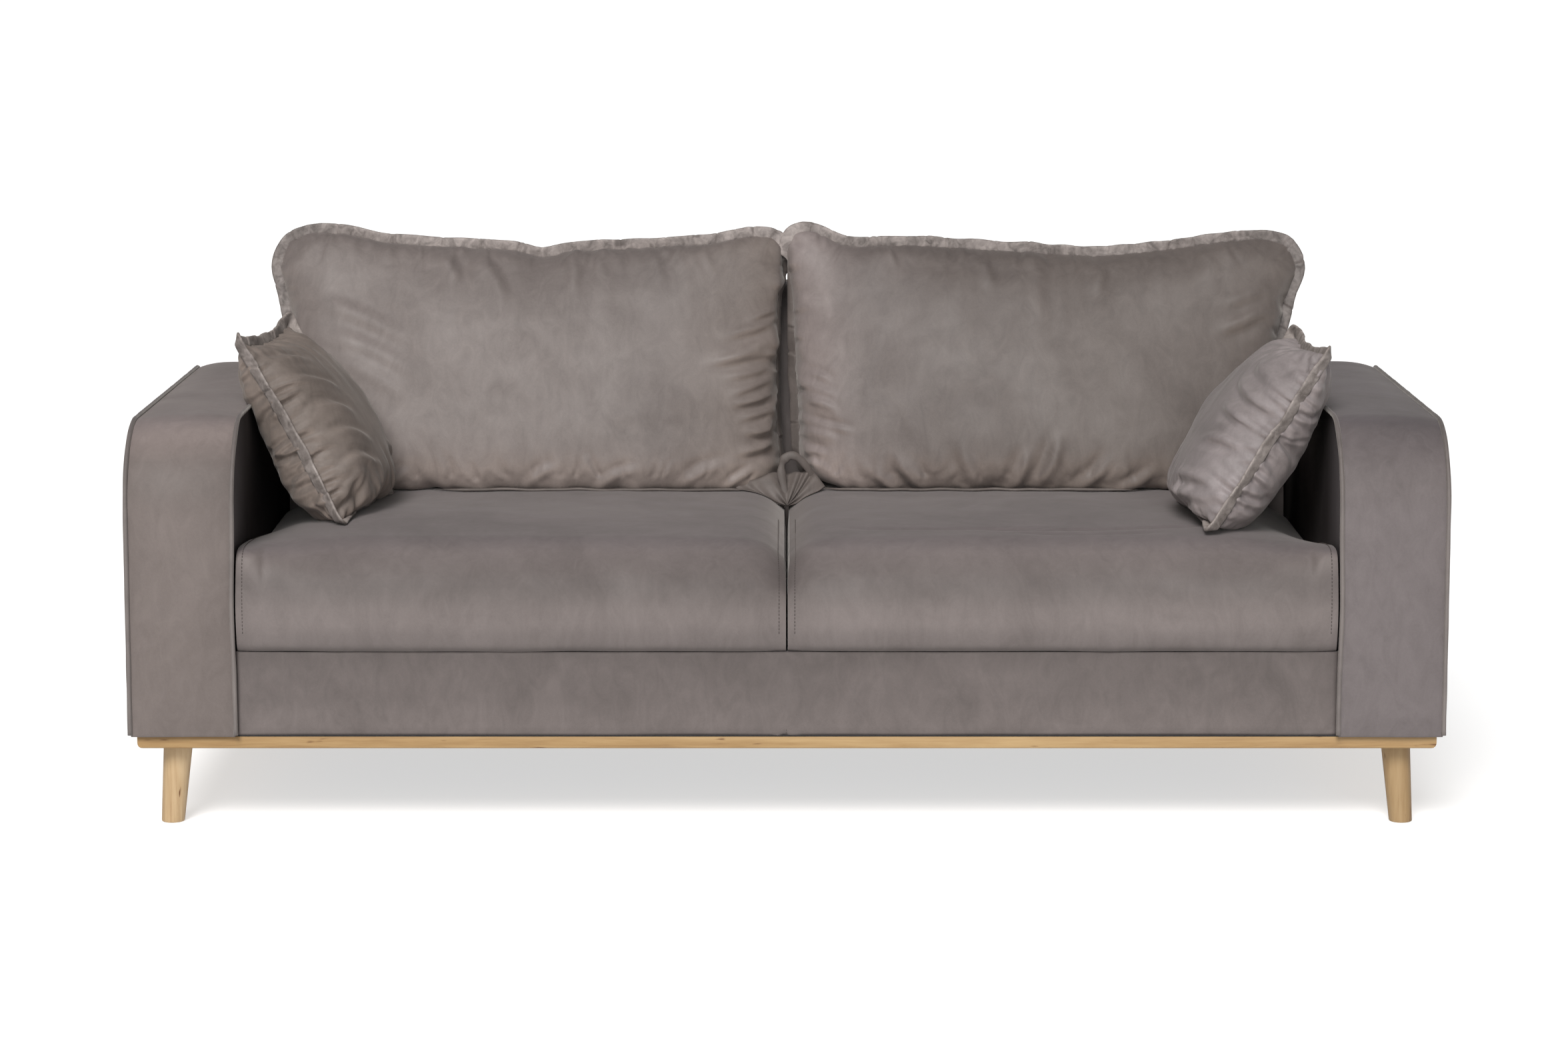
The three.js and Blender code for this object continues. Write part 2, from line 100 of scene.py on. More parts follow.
def build_light():
    """Two broad lights from the front, one of them low, and a faint glow from all round."""
    world = bpy.data.worlds.new("studio")
    world.use_nodes = True
    background = world.node_tree.nodes["Background"]
    background.inputs["Color"].default_value = (1.0, 0.995, 0.985, 1)
    background.inputs["Strength"].default_value = 0.12
    bpy.context.scene.world = world
    add_sun("key", 3.7, 24, (-0.16, -0.78, 0.66), (1.0, 0.985, 0.965))
    add_sun("fill", 1.0, 35, (0.04, -0.97, 0.26), (0.97, 0.985, 1.0))
    bpy.context.scene.view_settings.view_transform = "Standard"


# ---------------------------------------------------------------- materials

def new_material(name):
    """A new material with its node tree and its shader."""
    material = bpy.data.materials.new(name)
    material.use_nodes = True
    tree = material.node_tree
    return material, tree, tree.nodes["Principled BSDF"]


def link(tree, source, target):
    """Joins an output to an input."""
    tree.links.new(source, target)


def object_coordinates(tree, scale=(1, 1, 1)):
    """The object's own coordinates, stretched by scale."""
    coordinates = tree.nodes.new("ShaderNodeTexCoord")
    mapping = tree.nodes.new("ShaderNodeMapping")
    mapping.inputs["Scale"].default_value = scale
    link(tree, coordinates.outputs["Object"], mapping.inputs["Vector"])
    return mapping.outputs["Vector"]


def noise(tree, vector, scale, detail=2.0, roughness=0.5, distortion=0.0):
    """A noise texture's value."""
    node = tree.nodes.new("ShaderNodeTexNoise")
    node.inputs["Scale"].default_value = scale
    node.inputs["Detail"].default_value = detail
    node.inputs["Roughness"].default_value = roughness
    node.inputs["Distortion"].default_value = distortion
    link(tree, vector, node.inputs["Vector"])
    return node.outputs[0]


def math_node(tree, operation, a, b):
    """One sum of two values, each a number or an output."""
    node = tree.nodes.new("ShaderNodeMath")
    node.operation = operation
    for socket, value in zip(node.inputs, (a, b)):
        if isinstance(value, (int, float)):
            socket.default_value = value
        else:
            link(tree, value, socket)
    return node.outputs[0]


def spread(tree, value, low, high, out_low=0.0, out_high=1.0):
    """Stretches the range from low to high over the range from out_low to out_high."""
    node = tree.nodes.new("ShaderNodeMapRange")
    node.inputs["From Min"].default_value = low
    node.inputs["From Max"].default_value = high
    node.inputs["To Min"].default_value = out_low
    node.inputs["To Max"].default_value = out_high
    link(tree, value, node.inputs["Value"])
    return node.outputs[0]


def ramp(tree, factor, *stops):
    """A colour ramp; each stop is a position and a linear colour."""
    node = tree.nodes.new("ShaderNodeValToRGB")
    elements = node.color_ramp.elements
    while len(elements) < len(stops):
        elements.new(0.5)
    for element, (position, colour) in zip(elements, stops):
        element.position = position
        element.color = (*colour, 1)
    link(tree, factor, node.inputs["Fac"])
    return node.outputs["Color"]


def bump(tree, shader, height, strength, distance, below=None):
    """Bumps the shader's normal by height, on top of the bump below."""
    node = tree.nodes.new("ShaderNodeBump")
    node.inputs["Strength"].default_value = strength
    node.inputs["Distance"].default_value = distance
    link(tree, height, node.inputs["Height"])
    if below is not None:
        link(tree, below, node.inputs["Normal"])
    link(tree, node.outputs["Normal"], shader.inputs["Normal"])
    return node.outputs["Normal"]


def srgb(red, green, blue):
    """A colour given in screen values from 0 to 255, as the linear values that a shader takes."""
    def linear(value):
        value /= 255
        return value / 12.92 if value <= 0.04045 else ((value + 0.055) / 1.055) ** 2.4
    return (linear(red), linear(green), linear(blue))


def shade_along(tree, output, axis, reach, levels):
    """Painted light and shade: a slow change of shade along one axis of the object's place or of its surface
    normal. levels are ramp stops between -reach and reach."""
    coordinates = tree.nodes.new("ShaderNodeTexCoord")
    parts = tree.nodes.new("ShaderNodeSeparateXYZ")
    link(tree, coordinates.outputs[output], parts.inputs["Vector"])
    return ramp(tree, spread(tree, parts.outputs[axis], -reach, reach), *levels)


def stops(*levels):
    """Ramp stops from (position, shade) for greys, and (position, red, green, blue) for tinted shades."""
    return tuple((level[0], level[1:] if len(level) == 4 else level[1:] * 3) for level in levels)


# Painted light and shade by which way the surface faces, as shades over the normal's Z from -1 to 1. The
# tight covers get painted shade where they bend from the front over to the top, and on the top.
TIGHT_FACING_PAINTED_SHADE = stops(
    (0.0, 1.0), (0.48, 1.0), (0.66, 0.88, 0.87, 0.86), (0.80, 0.87, 0.86, 0.86), (0.92, 0.87, 0.87, 0.89),
    (1.0, 0.83, 0.84, 0.895),
)
# Painted light on the back cushions' downward-facing parts, and painted shade on their tops.
LOOSE_FACING_PAINTED_LIGHT = stops(
    (0.0, 1.08, 1.05, 1.02), (0.42, 1.10, 1.08, 1.05), (0.54, 0.94), (0.75, 0.85, 0.85, 0.86),
    (1.0, 0.84, 0.84, 0.86),
)
# Painted light on the scatter cushions' downward-facing parts and on their tops.
SCATTER_FACING_PAINTED_LIGHT = stops((0.0, 1.20, 1.18, 1.15), (0.40, 1.14, 1.12, 1.10), (0.55, 1.0), (0.78, 0.96), (1.0, 1.12))
# A painted highlight on the left scatter cushion's outer face, which tips down, away from the light.
SCATTER_LEFT_FACING_PAINTED_LIGHT = stops(
    (0.0, 1.62, 1.60, 1.57), (0.32, 1.56, 1.54, 1.51), (0.47, 1.22, 1.21, 1.19), (0.56, 1.0), (0.78, 1.0),
    (1.0, 1.22),
)
# Shades over X, Y or Z run from -REACH to REACH. Painted light and shade across the back cushions: darker
# towards the right, with painted highlights and a dark line where the two cushions meet; they are also
# painted lighter at the foot.
REACH = 0.9
BACK_PAINTED_LIGHT_ACROSS = stops(
    (0.0, 1.0), (0.12, 1.04), (0.25, 0.97), (0.38, 0.89), (0.44, 0.98, 0.97, 0.95), (0.488, 1.04, 1.02, 0.98),
    (0.497, 0.88), (0.508, 1.46, 1.46, 1.50), (0.535, 1.18, 1.17, 1.19), (0.575, 0.80, 0.79, 0.79),
    (0.65, 0.70, 0.69, 0.68), (0.80, 0.72, 0.71, 0.69), (1.0, 0.74, 0.73, 0.71),
)
# Painted shade on the back cushions' flanges at their outer ends beside the arms, and a little towards the
# right.
FLANGE_PAINTED_SHADE_ACROSS = stops(
    (0.0, 0.72), (0.045, 0.74), (0.075, 1.0), (0.45, 0.97), (0.56, 0.88), (0.93, 0.84), (0.96, 0.62),
    (1.0, 0.62),
)
# A painted highlight on the upward-facing side of the scatter cushions' flanges.
UPPER_SIDE_PAINTED_LIGHT = stops((0.0, 1.0), (0.55, 1.0), (0.72, 1.32), (1.0, 1.4))
EVEN = stops((0.0, 1.0), (1.0, 1.0))


def by_height(*levels, tint=(1.0, 1.0, 1.0)):
    """Ramp stops from (height in metres, shade) pairs."""
    return tuple(
        ((height + REACH) / (2 * REACH), tuple(shade * part for part in tint)) for height, shade in levels
    )


# Painted light up the back cushions: lighter at the foot, a little darker near the top.
BACK_PAINTED_LIGHT_BY_HEIGHT = by_height(
    (0.47, 1.30), (0.51, 1.26), (0.56, 1.0), (0.61, 0.97), (0.72, 1.0), (0.82, 0.93), (0.88, 0.96),
)
# Painted light and shade up the seats' front: dark at the hem, a dark band under the brow, a painted
# highlight on the brow.
SEAT_PAINTED_LIGHT_BY_HEIGHT = by_height(
    (0.290, 0.80), (0.315, 0.90), (0.335, 1.05), (0.357, 1.03), (0.376, 0.89), (0.395, 0.80), (0.410, 0.84),
    (0.428, 0.99), (0.445, 1.20), (0.458, 1.19), (0.48, 1.14),
)
# Painted shade on the front panel, deepening towards the seat that overhangs it.
PANEL_PAINTED_SHADE_BY_HEIGHT = by_height(
    (0.155, 1.10), (0.19, 1.03), (0.21, 0.96), (0.25, 0.92), (0.268, 0.87), (0.286, 0.80),
)
# Painted light and shade up the arms: a painted highlight on the left arm's front bend, a warmer left arm and
# a cooler right one.
ARM_PAINTED_LIGHT_BY_HEIGHT = {
    "left": by_height(
        (0.13, 0.89), (0.30, 0.93), (0.45, 0.945), (0.50, 0.93), (0.55, 0.84), (0.59, 0.93), (0.625, 1.50),
        (0.645, 1.70), (0.66, 1.42), tint=(1.0, 0.975, 0.945),
    ),
    "right": by_height(
        (0.13, 0.88), (0.30, 0.915), (0.50, 0.93), (0.55, 0.96), (0.59, 0.92), (0.625, 0.93), (0.645, 0.88),
        (0.66, 1.02), tint=(0.99, 1.0, 1.05),
    ),
}
# Painted shade on the arms' inner sides, deeper towards the back.
ARM_INNER_PAINTED_SHADE = stops((0.24, 0.80, 0.83, 0.88), (0.285, 0.55, 0.57, 0.61), (0.35, 0.24, 0.24, 0.25), (1.0, 0.30))


def multiplied(tree, a, b):
    """One colour multiplied by another."""
    node = tree.nodes.new("ShaderNodeMix")
    node.data_type = "RGBA"
    node.blend_type = "MULTIPLY"
    node.inputs["Factor"].default_value = 1.0
    link(tree, a, node.inputs["A"])
    link(tree, b, node.inputs["B"])
    return node.outputs["Result"]


def velvet_material(name, dark, light, patch, roughness, sheen, specular, facing_shade, mottle, shades=()):
    """Short-pile velvet: soft patches where the pile lies another way, small strokes, and a fine pile grain,
    times painted light and shade by which way the surface faces and by place. patch and mottle are how small
    and how strong the patches are;
    shades are pairs of an axis and stops."""
    material, tree, shader = new_material(name)
    place = object_coordinates(tree)
    brushed = object_coordinates(tree, (1.0, 1.0, 0.45))
    patches = noise(tree, place, patch, 3.0, 0.55, 0.8)
    strokes = noise(tree, brushed, 34.0, 4.0, 0.62, 1.6)
    pile = noise(tree, place, 1100.0, 2.0, 0.6)
    fleece = noise(tree, place, 260.0, 2.0, 0.5)
    shade = math_node(tree, "MULTIPLY", spread(tree, patches, 0.3, 0.7), mottle)
    finer = ((strokes, 0.3, 0.7, 0.26), (pile, 0.25, 0.75, 0.16), (fleece, 0.3, 0.7, 0.08))
    for layer, low, high, weight in finer:
        share = math_node(tree, "MULTIPLY", spread(tree, layer, low, high), weight)
        shade = math_node(tree, "ADD", shade, share)
    middle, half_range = 0.25 + mottle / 2, 0.4
    shade = spread(tree, shade, middle - half_range, middle + half_range)
    colour = ramp(tree, shade, (0.0, srgb(*dark)), (1.0, srgb(*light)))
    # Painted light and shade: by which way the surface faces, then along the object's axes.
    colour = multiplied(tree, colour, shade_along(tree, "Normal", "Z", 1.0, facing_shade))
    for axis, levels in shades:
        colour = multiplied(tree, colour, shade_along(tree, "Object", axis, REACH, levels))
    link(tree, colour, shader.inputs["Base Color"])
    rough = spread(tree, patches, 0.3, 0.7, roughness + 0.07, roughness - 0.07)
    link(tree, rough, shader.inputs["Roughness"])
    shader.inputs["Sheen Weight"].default_value = sheen
    shader.inputs["Sheen Roughness"].default_value = 0.38
    shader.inputs["Sheen Tint"].default_value = (1.0, 0.95, 0.90, 1)
    shader.inputs["Specular IOR Level"].default_value = specular
    soft = bump(tree, shader, strokes, 0.25, 0.0012)
    bump(tree, shader, pile, 0.35, 0.0005, soft)
    return material


def wood_material(name, axis, dark, middle, light):
    """Pale, close-grained wood whose grain runs along the given axis, with a few dark flecks."""
    material, tree, shader = new_material(name)
    across_grain, along_grain = 22.0, 1.3
    across_flecks, along_flecks = 130.0, 16.0
    stretch = [across_grain] * 3
    stretch[axis] = along_grain
    place = object_coordinates(tree, stretch)
    fleck_stretch = [across_flecks] * 3
    fleck_stretch[axis] = along_flecks
    fleck_place = object_coordinates(tree, fleck_stretch)
    broad = noise(tree, place, 1.0, 4.0, 0.6, 0.7)
    fine = noise(tree, place, 9.0, 5.0, 0.65, 0.3)
    broad_share = math_node(tree, "MULTIPLY", broad, 0.6)
    fine_share = math_node(tree, "MULTIPLY", fine, 0.4)
    grain = spread(tree, math_node(tree, "ADD", broad_share, fine_share), 0.32, 0.68)
    figure = ramp(tree, grain, (0.0, srgb(*dark)), (0.45, srgb(*middle)), (1.0, srgb(*light)))
    flecks = spread(tree, noise(tree, fleck_place, 1.0, 2.0, 0.5), 0.705, 0.76)
    mix = tree.nodes.new("ShaderNodeMix")
    mix.data_type = "RGBA"
    mix.inputs["B"].default_value = (*srgb(92, 60, 32), 1)
    link(tree, flecks, mix.inputs["Factor"])
    link(tree, figure, mix.inputs["A"])
    link(tree, mix.outputs["Result"], shader.inputs["Base Color"])
    link(tree, spread(tree, fine, 0.3, 0.7, 0.5, 0.62), shader.inputs["Roughness"])
    shader.inputs["Specular IOR Level"].default_value = 0.35
    bump(tree, shader, fine, 0.2, 0.0004)
    return material


def speckled_material(name, dark, light, scale, roughness, depth=0.0004, metallic=0.0):
    """A plain material for foam, felt, webbing or wire, with its own fine speckle."""
    material, tree, shader = new_material(name)
    place = object_coordinates(tree)
    speckle = noise(tree, place, scale, 3.0, 0.6)
    colour = ramp(tree, spread(tree, speckle, 0.3, 0.7), (0.0, srgb(*dark)), (1.0, srgb(*light)))
    link(tree, colour, shader.inputs["Base Color"])
    shader.inputs["Roughness"].default_value = roughness
    shader.inputs["Metallic"].default_value = metallic
    bump(tree, shader, speckle, 0.4, depth)
    return material


def floor_material():
    """Pale and partly glowing, so that the floor looks white and still takes a soft shadow."""
    material, tree, shader = new_material("pale_floor")
    place = object_coordinates(tree)
    mottle = spread(tree, noise(tree, place, 3.0, 3.0), 0.3, 0.7)
    link(tree, ramp(tree, mottle, *stops((0.0, 0.55), (1.0, 0.57))), shader.inputs["Base Color"])
    shader.inputs["Emission Color"].default_value = (1, 1, 1, 1)
    shader.inputs["Emission Strength"].default_value = 0.60
    shader.inputs["Roughness"].default_value = 0.85
    shader.inputs["Specular IOR Level"].default_value = 0.1
    return material


# Colours are screen values from 0 to 255.
ARM_COLOURS = (85, 78, 76), (109, 101, 99)
# Name: dark and light colour, patch, roughness, sheen, specular, painted shade by facing, mottle, painted
# shades by place.
VELVETS = {
    "velvet": (*ARM_COLOURS, 4.5, 0.62, 0.22, 0.30, TIGHT_FACING_PAINTED_SHADE, 0.32),
    "arm_velvet_left": (
        *ARM_COLOURS, 4.5, 0.62, 0.22, 0.30, TIGHT_FACING_PAINTED_SHADE, 0.36, (("Z", ARM_PAINTED_LIGHT_BY_HEIGHT["left"]),),
    ),
    "arm_velvet_right": (
        *ARM_COLOURS, 4.5, 0.62, 0.22, 0.30, TIGHT_FACING_PAINTED_SHADE, 0.32, (("Z", ARM_PAINTED_LIGHT_BY_HEIGHT["right"]),),
    ),
    "seat_velvet": (*ARM_COLOURS, 5.5, 0.62, 0.22, 0.30, TIGHT_FACING_PAINTED_SHADE, 0.34, (("Z", SEAT_PAINTED_LIGHT_BY_HEIGHT),)),
    # The front panel is a darker copy of the velvet: painted shade under the seat's overhang.
    "panel_velvet": (
        (77, 71, 69), (100, 92, 90), 9.0, 0.66, 0.16, 0.25, TIGHT_FACING_PAINTED_SHADE, 0.30, (("Z", PANEL_PAINTED_SHADE_BY_HEIGHT),),
    ),
    # A darker copy for the arms' inner sides: painted shade.
    "shaded_velvet": ((88, 81, 79), (114, 106, 104), 3.6, 0.7, 0.0, 0.15, EVEN, 0.5, (("Y", ARM_INNER_PAINTED_SHADE),)),
    "back_velvet": (
        (90, 82, 79), (122, 113, 109), 8.0, 0.60, 0.16, 0.40, LOOSE_FACING_PAINTED_LIGHT, 0.24,
        (("X", BACK_PAINTED_LIGHT_ACROSS), ("Z", BACK_PAINTED_LIGHT_BY_HEIGHT)),
    ),
    # A darker copy for folds that lie in shade: painted shade.
    "fold_velvet": ((66, 60, 57), (98, 90, 86), 9.0, 0.62, 0.05, 0.38, EVEN, 0.30),
    # The left scatter cushion's velvet is a darker copy of the right one's: painted shade.
    "scatter_velvet_left": ((82, 74, 69), (114, 104, 98), 9.0, 0.62, 0.12, 0.34, SCATTER_LEFT_FACING_PAINTED_LIGHT, 0.34),
    "scatter_velvet_right": ((96, 90, 89), (134, 126, 126), 9.0, 0.62, 0.14, 0.36, SCATTER_FACING_PAINTED_LIGHT, 0.36),
    "flange_velvet": (
        (88, 81, 78), (142, 133, 129), 60.0, 0.6, 0.06, 0.36, EVEN, 0.75, (("X", FLANGE_PAINTED_SHADE_ACROSS),),
    ),
    "scatter_flange_velvet": ((82, 75, 71), (132, 124, 120), 60.0, 0.6, 0.06, 0.36, UPPER_SIDE_PAINTED_LIGHT, 0.70),
    "piping": ((86, 80, 78), (108, 101, 98), 9.0, 0.6, 0.25, 0.35, TIGHT_FACING_PAINTED_SHADE, 0.5),
}
# Name: the grain's axis, then its dark, middle and light colour.
PLINTH_WOOD = (117, 88, 54), (140, 112, 74), (157, 131, 92)
FRAME_WOOD = (132, 102, 68), (156, 128, 92), (172, 147, 112)
WOODS = {
    "beech_x": (0, *PLINTH_WOOD),
    "beech_y": (1, *PLINTH_WOOD),
    # The left leg's wood is a lighter copy and the right leg's a darker one: painted light and shade.
    "leg_left": (2, (138, 111, 79), (162, 138, 105), (178, 157, 126)),
    "leg_right": (2, (113, 86, 55), (133, 108, 75), (147, 124, 91)),
    "pine_x": (0, *FRAME_WOOD),
    "pine_z": (2, *FRAME_WOOD),
}
# Name: dark and light colour, speckles for each metre, roughness, and where they differ depth and metallic.
PLAIN = {
    "thread": ((58, 52, 50), (82, 74, 71), 900.0, 0.85),
    "foam": ((214, 206, 180), (236, 230, 210), 320.0, 0.95, 0.0008),
    "deck_cloth": ((52, 50, 52), (70, 67, 69), 700.0, 0.95),
    "webbing": ((38, 38, 42), (66, 66, 70), 500.0, 0.9),
    "dust_sheet": ((24, 24, 26), (44, 44, 47), 420.0, 0.97),
    "steel": ((140, 143, 148), (186, 189, 194), 300.0, 0.35, 0.0001, 1.0),
}
MATERIALS = {}
for make, table in ((velvet_material, VELVETS), (wood_material, WOODS), (speckled_material, PLAIN)):
    MATERIALS.update({title: make(title, *values) for title, values in table.items()})


# ---------------------------------------------------------------- mesh helpers

def piece(name, verts, faces, material, body, replaces=(), smooth=True):
    """Makes a mesh object that rides on a body and stands for CAD nodes."""
    mesh = bpy.data.meshes.new(name)
    mesh.from_pydata([tuple(v) for v in verts], [], [tuple(f) for f in faces])
    mesh.update()
    mesh.materials.append(MATERIALS[material])
    if smooth:
        mesh.shade_smooth()
    obj = put(name, mesh)
    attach(obj, body)
    if replaces:
        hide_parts(*replaces)
    return obj


def add_modifier(obj, kind, **settings):
    """Adds a modifier and applies it."""
    modifier = obj.modifiers.new(kind.lower(), kind)
    for key, value in settings.items():
        setattr(modifier, key, value)
    graph = bpy.context.evaluated_depsgraph_get()
    result = bpy.data.meshes.new_from_object(obj.evaluated_get(graph))
    obj.modifiers.clear()
    old = obj.data
    obj.data = result
    bpy.data.meshes.remove(old)
    return obj


def get_co(obj):
    """The mesh's vertices as an array, one row each."""
    co = np.empty(len(obj.data.vertices) * 3)
    obj.data.vertices.foreach_get("co", co)
    return co.reshape(-1, 3)


def set_co(obj, co):
    """Moves the mesh's vertices to co."""
    obj.data.vertices.foreach_set("co", np.ascontiguousarray(co, np.float32).ravel())
    obj.data.update()


def get_normals(obj):
    """The vertex normals as an array, one row each."""
    normals = np.empty(len(obj.data.vertices) * 3)
    obj.data.vertices.foreach_get("normal", normals)
    return normals.reshape(-1, 3)


def smoothstep(low, high, x):
    """0 before low and 1 past high, with a smooth rise between; high may be the smaller of the two."""
    t = np.clip((x - low) / (high - low), 0, 1)
    return t * t * (3 - 2 * t)


def unit(vectors):
    """Rows of vectors, each brought to length 1."""
    return vectors / np.linalg.norm(vectors, axis=1)[:, None]


def loop_tangents(loop):
    """The direction along a closed loop of points at each of them."""
    return unit(np.roll(loop, -1, 0) - np.roll(loop, 1, 0))


def bell(x, width):
    """1 at 0, falling away smoothly over the given width."""
    return np.exp(-((x / width) ** 2))


def soft_positive(x, softness):
    """x where it is well above 0, and 0 where it is well below, with a smooth bend between."""
    return 0.5 * (x + np.sqrt(x * x + softness * softness))


def ripple(points, wavelength, seed, waves=7):
    """Smooth seeded noise between about -1 and 1: a sum of sine waves in random directions."""
    rng = np.random.default_rng(seed)
    directions = unit(rng.normal(size=(waves, points.shape[1])))
    pitch = wavelength * rng.uniform(0.7, 1.5, waves)
    phase = rng.uniform(0, 2 * np.pi, waves)
    total = np.zeros(len(points))
    for direction, length, start in zip(directions, pitch, phase):
        total += np.sin(points @ direction * (2 * np.pi / length) + start)
    return total / math.sqrt(waves * 2)


def rounded_loop(corners, step):
    """A closed polygon with rounded corners, given as (y, z, radius), as evenly spaced points."""
    count = len(corners)
    points = []
    for i in range(count):
        previous = np.array(corners[i - 1][:2])
        corner = np.array(corners[i][:2])
        following = np.array(corners[(i + 1) % count][:2])
        radius = corners[i][2]
        to_previous = (previous - corner) / np.linalg.norm(previous - corner)
        to_following = (following - corner) / np.linalg.norm(following - corner)
        half_angle = math.acos(float(np.clip(to_previous @ to_following, -1, 1))) / 2
        reach = radius / math.tan(half_angle)
        start = corner + to_previous * reach
        end = corner + to_following * reach
        bisector = to_previous + to_following
        centre = corner + bisector / np.linalg.norm(bisector) * radius / math.sin(half_angle)
        turn = math.pi - 2 * half_angle
        pieces = max(4, int(round(radius * turn / (step * 0.6))))
        for k in range(pieces + 1):
            along = k / pieces
            spoke = (start - centre) * math.sin((1 - along) * turn) + (end - centre) * math.sin(along * turn)
            points.append(centre + spoke / math.sin(turn))
    loop = []
    for i, point in enumerate(points):
        following = points[(i + 1) % len(points)]
        gap = np.linalg.norm(following - point)
        pieces = max(1, int(round(gap / step)))
        for k in range(pieces):
            loop.append(point + (following - point) * k / pieces)
    return np.array(loop)


def loop_normals(loop):
    """Outward normals of a closed loop of points in a plane."""
    tangent = loop_tangents(loop)
    area = np.sum(loop[:, 0] * np.roll(loop[:, 1], -1) - np.roll(loop[:, 0], -1) * loop[:, 1])
    turn = 1 if area > 0 else -1
    return np.stack([tangent[:, 1], -tangent[:, 0]], 1) * turn


def grid_faces(rows, columns, closed_rows=False):
    """Quads between rows of vertices; the last row joins the first where the rows close on themselves."""
    faces = []
    for i in range(rows if closed_rows else rows - 1):
        here = i * columns
        there = (i + 1) % rows * columns
        for j in range(columns - 1):
            faces.append((here + j, here + j + 1, there + j + 1, there + j))
    return faces


def ring_faces(rings, sides, closed):
    """Quads between rings of vertices along a tube; the last ring joins the first where it is closed."""
    faces = []
    for i in range(rings if closed else rings - 1):
        here = i * sides
        there = (i + 1) % rings * sides
        for k in range(sides):
            following = (k + 1) % sides
            faces.append((here + k, there + k, there + following, here + following))
    return faces


def plane_points(low_x, high_x, low_z, high_z, columns, rows):
    """Evenly spaced (x, z) points, row by row from the bottom."""
    grid_x, grid_z = np.meshgrid(np.linspace(low_x, high_x, columns), np.linspace(low_z, high_z, rows))
    return np.stack([grid_x.ravel(), grid_z.ravel()], 1)


def soften(path, passes, own=2):
    """Evens out a line of points, or a column of them, and keeps both its ends."""
    for _ in range(passes):
        path[1:-1] = (path[:-2] + own * path[1:-1] + path[2:]) / (own + 2)


# How far in from a cover's edge each ring of its end panel lies, as shares of the way to the middle.
RING_SHARES = (0.012, 0.04, 0.10, 0.24, 0.48, 0.75)


def upholstered(loop, x0, x1, columns, crown, puff):
    """A closed cover in the side view's shape: a strip along the loop from x0 to x1, crowned between its
    two seams, and a panel at each end that puffs out a little. crown and puff are heights; crown may differ
    from point to point of the loop. Returns its vertices, its faces and how far across each vertex lies."""
    rows = len(loop)
    normals = loop_normals(loop)
    crown = np.broadcast_to(crown, rows)
    across = -np.cos(np.linspace(0, np.pi, columns + 1))
    lift = 1 - np.abs(across) ** 3
    x = (x0 + x1) / 2 + (x1 - x0) / 2 * across
    verts = np.zeros((rows, columns + 1, 3))
    verts[:, :, 0] = x[None, :]
    verts[:, :, 1] = loop[:, 0:1] + normals[:, 0:1] * crown[:, None] * lift[None, :]
    verts[:, :, 2] = loop[:, 1:2] + normals[:, 1:2] * crown[:, None] * lift[None, :]
    faces = grid_faces(rows, columns + 1, True)
    verts = list(verts.reshape(-1, 3))
    across_all = list(np.tile(across, rows))
    middle = loop.mean(0)
    for column, x_edge, out in ((0, x0, -1), (columns, x1, 1)):
        ring = [i * (columns + 1) + column for i in range(rows)]
        for share in RING_SHARES:
            new_ring = []
            height = puff * (1 - (1 - min(1, share * 2.2)) ** 3)
            for i in range(rows):
                y, z = loop[i] + (middle - loop[i]) * share
                new_ring.append(len(verts))
                verts.append(np.array((x_edge + out * height, y, z)))
                across_all.append(float(out))
            for i in range(rows):
                following = (i + 1) % rows
                quad = (ring[i], ring[following], new_ring[following], new_ring[i])
                faces.append(quad if out < 0 else quad[::-1])
            ring = new_ring
        hub = len(verts)
        verts.append(np.array((x_edge + out * puff, *middle)))
        across_all.append(float(out))
        for i in range(rows):
            fan = (ring[i], ring[(i + 1) % rows], hub)
            faces.append(fan if out < 0 else fan[::-1])
    return np.array(verts), orient(np.array(verts), faces), np.array(across_all)


def thick_sheet(front, rear, rows, columns):
    """A closed sheet between two grids of points."""
    count = len(front)
    faces = grid_faces(rows, columns)
    faces += [tuple(v + count for v in reversed(face)) for face in grid_faces(rows, columns)]
    rim = (
        list(range(columns))
        + [columns * (r + 1) - 1 for r in range(1, rows)]
        + [columns * (rows - 1) + c for c in range(columns - 2, -1, -1)]
        + [columns * r for r in range(rows - 2, 0, -1)]
    )
    for a, b in zip(rim, rim[1:] + rim[:1]):
        faces.append((b, a, a + count, b + count))
    verts = np.concatenate([front, rear])
    return verts, orient(verts, faces)


def orient(verts, faces):
    """Turns all the faces round if the closed mesh is inside out."""
    verts = np.asarray(verts)
    triangles = np.array([(face[0], face[k], face[k + 1]) for face in faces for k in range(1, len(face) - 1)])
    a, b, c = (verts[triangles[:, k]] for k in range(3))
    if np.sum(a * np.cross(b, c)) > 0:
        return faces
    return [tuple(reversed(face)) for face in faces]


def sweep(path, sides, radius_across, radius_out, out_direction):
    """An oval tube along a path, closed at both ends. out_direction is one vector for each point of the path,
    across it; the radii may differ from point to point."""
    path = np.asarray(path)
    count = len(path)
    tangent = unit(np.gradient(path, axis=0))
    out = unit(out_direction - tangent * np.sum(out_direction * tangent, 1)[:, None])
    side = np.cross(tangent, out)
    radius_across = np.broadcast_to(radius_across, count)
    radius_out = np.broadcast_to(radius_out, count)
    verts = []
    for k in range(sides):
        angle = 2 * math.pi * k / sides
        verts.append(
            path
            + out * (math.cos(angle) * radius_out)[:, None]
            + side * (math.sin(angle) * radius_across)[:, None]
        )
    verts = np.stack(verts, 1).reshape(-1, 3)
    faces = ring_faces(count, sides, False)
    faces.append(tuple(range(sides)))
    faces.append(tuple((count - 1) * sides + k for k in reversed(range(sides))))
    return verts, orient(verts, faces)


